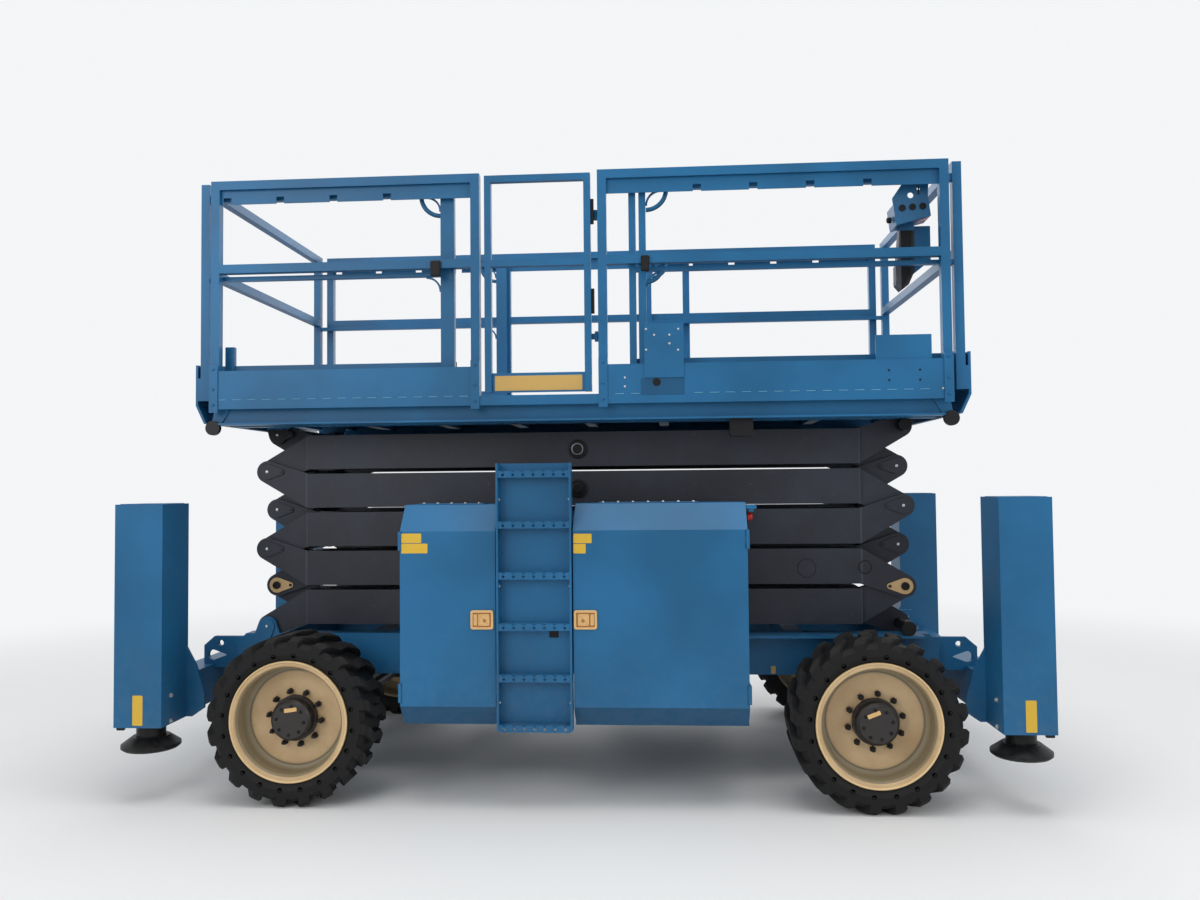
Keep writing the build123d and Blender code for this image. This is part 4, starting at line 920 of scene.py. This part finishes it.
housing_x = (2.030, highest("outriggers", "X"))     # inner face, outer face
housing_y = (0.875, highest("outriggers", "Y"))
housing_top = highest("outriggers", "Z")
lid_margin = 0.014
for tag, side, end in corners:
    places = [((end * housing_x[0], side * 1.052, z), (-end, 0, 0)) for z in (0.400, 0.527)]
    fit(f"housing_bolts_{tag}", middle_bolt, places)
    inner = (end * (housing_x[0] + lid_margin), side * (housing_y[0] + lid_margin))
    outer = (end * (housing_x[1] - lid_margin), side * (housing_y[1] - lid_margin))
    lid = slab(f"housing_lid_{tag}", (*inner, housing_top - 0.0005),
               (*outer, housing_top + 0.0025), 0.001, 0.01, 2)
    done(lid, "chassis", blue)
    tab = plate(f"housing_tab_{tag}", side, (end * 2.222, end * 2.262), (0.372, 0.386),
                (1.128, 1.142), 0.002, 0.004)
    done(tab, "chassis", black)
print("ladder and housings done, housings up to", housing_top, "m")

# %% [markdown]
# Every fork of the scissor holds its pin with a keeper plate. A grease nipple shines in the
# middle of each pin and a bolt holds the plate's small end. The two gold plates have a black pin
# end instead. Where an outer arm crosses an inner one, a capped pivot stands out of the beam, and
# the top one has a dark steel ring.

# %% Scissor trim
pin_x, base_z = -pivots["lift"][0], pivots["lift"][2]
arm_pitch = round(pivots["outer_fold_2"][2] - base_z, 4)
levels, keeper_tip = 5, 0.078


def pin_height(level):
    return base_z + level * arm_pitch


def on_both_sides(x, y, z):
    return [((x, side * y, z), (0, side, 0)) for side in sides.values()]


forks = (                       # body, end, level, face
    ("outer_2", -1, 2, outer_face), ("outer_2", 1, 1, outer_face), ("outer_3", 1, 3, outer_face),
    ("outer_4", -1, 4, outer_face), ("inner_2", -1, 1, inner_face), ("inner_2", 1, 2, inner_face),
    ("inner_3", -1, 3, inner_face), ("inner_4", 1, 4, inner_face),
    ("platform", -1, 5, inner_face),
)
gold_ends = {"outer_2": 1, "inner_2": -1}
for body, end, level, face in forks:
    tag, z = f"{body}_{end_name(end)}", pin_height(level)
    pins = on_both_sides(end * pin_x, face, z)
    if gold_ends.get(body) == end:
        fit(f"pin_ends_{tag}", pin_end, pins, body, black)
    else:
        fit(f"pin_nipples_{tag}", nipple, pins, body)
    keepers = on_both_sides(end * (pin_x - keeper_tip), face, z)
    fit(f"keeper_bolts_{tag}", small_bolt, keepers, body, arm_grey)
fit("pin_nipples_frame", nipple, on_both_sides(-pin_x, outer_face, base_z))

for level in range(1, levels + 1):
    middles = on_both_sides(0, outer_face, pin_height(level - 0.5))
    fit(f"pivot_caps_{level}", pivot_cap, middles, f"outer_{level}", black)
fit("pivot_rings", bright_ring, middles, f"outer_{levels}", dark_steel)
print("pins every", arm_pitch, "m from", base_z, "m up")

# %% [markdown]
# Two rings show on the second outer arm: a round opening near its right end and the weld of a
# cross tube further in. A closed beam can't be cut here, so the opening is a dark dished disc
# flush with the plate, its black painted shade for the hollow behind the opening, and the weld is
# a thin spun ring.

# %% Marks on the second outer arm
beam_face = 0.620
opening_x, opening_z, cross_tube_x, cross_tube_z = 1.509, 1.123, 1.208, 1.119
for side_name, side in sides.items():
    # The disc's black is painted shade for the inside of the opening.
    opening = rod(f"arm_opening_{side_name}", (opening_x, side * (beam_face - 0.001), opening_z),
                  (opening_x, side * (beam_face + 0.0015), opening_z), 0.036, 28, 0.0005)
    push_face(opening, (0, side, 0), 0.005, -0.002)
    done(opening, "outer_2", black_plastic)
    weld = spun_tube(f"arm_weld_ring_{side_name}", (cross_tube_x, side * beam_face, cross_tube_z),
                     0.048, 0.003, 8, 40)
    done(weld, "outer_2", arm_grey, 180)
print("arm marks at", opening_x, "and", cross_tube_x, "m")

# %% [markdown]
# The platform is a bolted assembly: posts stand on foot plates with bolts in a column, the outlet
# plate and the kick plate are bolted on, and a rubber grommet lines the round hole under the
# outlet plate.

# %% Platform bolts, recess and grommet
panel_y, outlet_y = highest("deck_side_far", "Y"), -lowest("deck_side_near", "Y")
foot_y = highest("rails_far", "Y")
post_x = {"near": (-1.880, -0.498, 0.160, 1.880), "far": (-1.880, -0.620, 0.620, 1.880)}
for side_name, side in sides.items():
    places = [((x, side * foot_y, z), (0, side, 0)) for x in post_x[side_name]
              for z in (2.003, 2.085, 2.190)]
    fit(f"foot_bolts_{side_name}", small_bolt, places, "platform", blue)

outlet = ((0.381, 2.354), (0.544, 2.352), (0.381, 2.249), (0.542, 2.246),
          (0.499, 2.323), (0.499, 2.279), (0.422, 2.324))
kick_plate = ((1.588, 2.075), (1.588, 2.125), (1.740, 2.075), (1.740, 2.125))
panel = ((0.271, 2.110), (0.271, 2.065), (1.850, 2.030))
bolt_groups = (                 # name, places (x, z), y, finish, slot
    ("outlet_bolts", outlet, outlet_y, zinc, "chrome"),
    ("kick_bolts", kick_plate, panel_y, black, "black_paint"),
    ("panel_bolts", panel, panel_y, zinc, "chrome"),
)
for name, group, y, paint, slot in bolt_groups:
    places = [((x, -y, z), (0, -1, 0)) for x, z in group]
    fit(name, tiny_bolt, places, "platform", paint)

# The recess is a thin plate in a darker blue: painted shade for the recessed part of the panel.
recess = plate("outlet_recess", -1, (0.352, 0.572), (2.020, 2.106), (panel_y, panel_y + 0.0012),
               0.0005, 0.003)
done(recess, "platform", shadow_blue)
grommet = rod("grommet", (0.432, -panel_y, 2.085), (0.432, -panel_y - 0.005, 2.085), 0.020, 24)
push_face(grommet, (0, -1, 0), 0.006, -0.0025)
done(grommet, "platform", black_plastic)
print("bolt groups", [group[0] for group in bolt_groups])

# %% [markdown]
# A line of short welds joins the floor to the side panel. Each is a low bead a few centimetres
# long. One bead is made by hand, a thin rod with rounded ends pressed half into the panel, and
# copied along the panel at the pitch that the photograph shows.

# %% Stitch welds along the panel
weld_z, weld_pitch, weld_length, panel_end = 2.028, 0.080, 0.045, 1.86
gaps = ((-0.475 - weld_pitch, 0.137), (0.34, 0.575))    # the gate and the outlet, on the near side
weld_bead = rod("weld_bead", (0, 0, 0), (weld_length, 0, 0), 0.0024, 8, 0.0008)
for side_name, side in sides.items():
    starts = [-panel_end + i * weld_pitch for i in range(int(2 * panel_end / weld_pitch))]
    if side < 0:
        starts = [x for x in starts if not any(low < x < high for low, high in gaps)]
    places = [((x, side * (panel_y - 0.0006), weld_z), None) for x in starts]
    fit(f"stitch_welds_{side_name}", weld_bead, places, "platform", weld_blue, 60)
patterns.append(weld_bead)
print("stitch welds at a pitch of", weld_pitch, "m, on the far side", len(starts))

# %% [markdown]
# The control box hangs on the near rail of the right extension. Its face has three rubber
# grommets and a dark slot, and the end towards the middle of the platform has a knob. The
# extensions' end plates have a pair of bolts at each side.

# %% Control box and extension trim
box_face = -lowest("control_box", "Y")
for i, (x, z) in enumerate(((1.693, 2.965), (1.744, 2.969), (1.795, 2.972))):
    plug = rod(f"box_grommet_{i}", (x, -box_face, z), (x, -box_face - 0.006, z), 0.017, 20, 0.0015)
    push_face(plug, (0, -1, 0), 0.005, -0.002)
    done(plug, "extension_right", black_plastic)
box_slot = plate("box_slot", -1, (1.771, 1.779), (3.032, 3.075), (box_face, box_face + 0.0015),
                 0.0004, 0.003)
done(box_slot, "extension_right", black_plastic)
knob = rod("knob", (1.652, -0.742, 2.923), (1.632, -0.742, 2.923), 0.016, 10, 0.002)
push_face(knob, (-1, 0, 0), 0.004, 0.003)
done(knob, "extension_right", black_plastic)

extension_end = highest("extension_right", "X")
for end in ends:
    places = [((end * extension_end, side * 0.790, z), (end, 0, 0))
              for side in sides.values() for z in (2.095, 2.180)]
    name = end_name(end)
    fit(f"end_plate_bolts_{name}", middle_bolt, places, f"extension_{name}")
print("control box face at", -box_face, "m, extension ends at", extension_end, "m")

# %% [markdown]
# Where an extension's rail meets its inboard post, a bent tube makes a grab bow. It is drawn the
# way a tube is bent: a small circle, spun a quarter turn round the inner corner. A pinned latch
# in black sits on the middle rail beside each post, two pads fill the gap at the gate's hinge,
# and a short square socket stands in the left extension's near corner.

# %% Grab bows, latches, gate pads and a socket
bow_y, bow_thickness = 0.834, 0.012
bow_corner = {-1: -0.690, 1: 0.385}
bows = (("upper", 3.093, 0.105), ("lower", 2.693, 0.080))   # name, height, radius
made = []
for tag, side, end in corners:
    for name, height, radius in bows:
        if name == "lower" and end < 0:
            continue
        bow = spun_tube(f"grab_bow_{name}_{tag}", (bow_corner[end], side * bow_y, height),
                        end * radius, bow_thickness, 12, 14, -end * pi / 2)
        done(bow, f"extension_{end_name(end)}", blue, smooth=80)
        made.append(bow.name)
print("bows", made)

for name, x_span in {"left": (-0.728, -0.676), "right": (0.358, 0.402)}.items():
    latch = plate(f"rail_latch_{name}", -1, x_span, (2.652, 2.732), (0.9065, 0.9215), 0.002, 0.006)
    push_face(latch, (0, -1, 0), 0.004, 0.003)
    done(latch, "platform", black_plastic)
for i, (z_from, z_to) in enumerate(((2.445, 2.575), (2.908, 3.040))):
    pad = slab(f"gate_pad_{i}", (0.1005, -0.892, z_from), (0.1175, -0.876, z_to), 0.002, 0.006, 0)
    push_face(pad, (0, -1, 0), 0.003, -0.001)
    done(pad, "gate", black_plastic)
stub = slab("corner_socket", (-1.868, -0.812, 2.049), (-1.818, -0.776, 2.320), 0.002, 0.006, 2)
push_face(stub, (0, 0, 1), 0.004, -0.030)
done(stub, "extension_left", blue)
print("latches, pads and socket done")

# %% [markdown]
# Under the control box hangs its holder: a dark pressed channel with a black rubber strip on its
# outer edge, and beside it a blue bracket. A blank pink sticker is on the slanted underside. Each
# is a slab of which one end is moved, because the real sheet is folded at a slant.

# %% Holder of the control box
box_back = highest("control_box", "Y")
holder_front = box_back - 0.063
channel = leaning_slab(
    "holder_channel", (1.6735, holder_front, 2.600), (1.704, box_back + 0.001, 2.868),
    lambda x, y, z: x < 1.68 and z > 2.8, (0.024, 0, 0),
)
done(channel, "extension_right", holder_grey)
rubber_strip = leaning_slab(
    "holder_strip", (1.703, holder_front - 0.004, 2.562), (1.7585, holder_front + 0.012, 2.870),
    lambda x, y, z: x > 1.75 and z < 2.6, (-0.012, 0, 0.085),
)
done(rubber_strip, "extension_right", black_plastic)
wing = leaning_slab(
    "holder_wing", (1.757, holder_front + 0.010, 2.640), (1.856, box_back, 2.895),
    lambda x, y, z: x > 1.83 and z < 2.7, (0, 0, 0.075),
)
done(wing, "extension_right", blue)
sticker = leaning_slab(
    "blank_sticker", (1.778, -0.806, 2.9058), (1.832, -0.726, 2.9068),
    lambda x, y, z: x > 1.805, (0, 0, 0.0135), 0.0002, 0.006,
)
done(sticker, "extension_right", sticker_pink)
print("holder", [piece.name for piece in (channel, rubber_strip, wing, sticker)])

# %% [markdown]
# The patterns that were copied all over the machine aren't pieces themselves, so they go. What
# is left of the scene are the solid pieces and the trim.

# %% Patterns away
bare()
for piece in patterns:
    piece.select_set(True)
bpy.ops.object.delete()
solid_pieces = list(frame["nodes"].values())
trim = [piece for piece in bpy.data.objects if piece.type == "MESH" and piece not in solid_pieces]
print("trim pieces", len(trim))

# %% [markdown]
# The machine stands on a plain pale floor. The floor could end at a wall, but here it fades into
# the light behind the machine, so that no edge shows and no wall casts its colour.

# %% Floor
backdrop = (0.95, 0.965, 0.985)
bpy.ops.mesh.primitive_plane_add(size=60, location=(0, 0, 0))
floor = bpy.context.object
floor.name = "floor"
ground = Finish("pale_floor")
spot = ground.spot()
x, y, z = ground.axes(spot)
pale = ground.mix(ground.noise(spot, 0.6), (0.80, 0.80, 0.795), (0.84, 0.84, 0.835))
ground.set(Base_Color=pale, Roughness=0.75)
far_off = ground.ramp((x * x + y * y).root(), 3.4, 9.0)
seen_directly = ground.node("LightPath", out="Is Camera Ray")
glow = ground.node("Emission", inputs={"Color": backdrop, "Strength": 0.95})
lit = Value(ground, ground.shader.outputs[0])
blend = ground.node("MixShader", inputs={0: far_off * seen_directly, 1: lit, 2: glow})
ground.put(ground.tree.nodes["Material Output"].inputs["Surface"], blend)
floor.data.materials.append(ground.material)
print("floor", floor.name)

# %% [markdown]
# The world is a soft white, as in a studio. The camera sees it brighter than the light that it
# casts, and so do mirrors, or chrome would look dead.

# %% World
studio = bpy.data.worlds.new("studio")
bpy.context.scene.world = studio
sky = Finish("studio", studio)
mirrored = sky.node("LightPath", out="Is Glossy Ray")
seen = sky.node("LightPath", out="Is Camera Ray").maths("MAXIMUM", mirrored)
sky.set(Color=backdrop, Strength=0.55 + 0.40 * seen)
print("world", studio.name)

# %% [markdown]
# Four large area lamps give the soft shape: a wide one above, a key from the front left, a fill
# from the right and one behind that draws the edges. Each is aimed at a point on the machine.

# %% Lamps
lamps = (                       # name, place, height of the point it is aimed at, size, power
    ("top_lamp", (0.5, -1.0, 8.0), 1.0, 6.0, 330),
    ("front_lamp", (-4.5, -7.0, 4.5), 1.3, 4.0, 170),
    ("side_lamp", (6.5, -4.0, 3.5), 1.3, 3.0, 80),
    ("back_lamp", (0.0, 7.0, 5.0), 1.3, 5.0, 130),
)
for name, place, aim_z, size, power in lamps:
    bpy.ops.object.light_add(type="AREA", location=place)
    light = bpy.context.object
    light.name = name
    light.data.size = size
    light.data.energy = power
    away = Vector(place) - Vector((0, 0, aim_z))
    light.rotation_euler = away.to_track_quat("Z", "Y").to_euler()
bpy.context.scene.view_settings.view_transform = "Standard"
print("lamps", len(lamps))
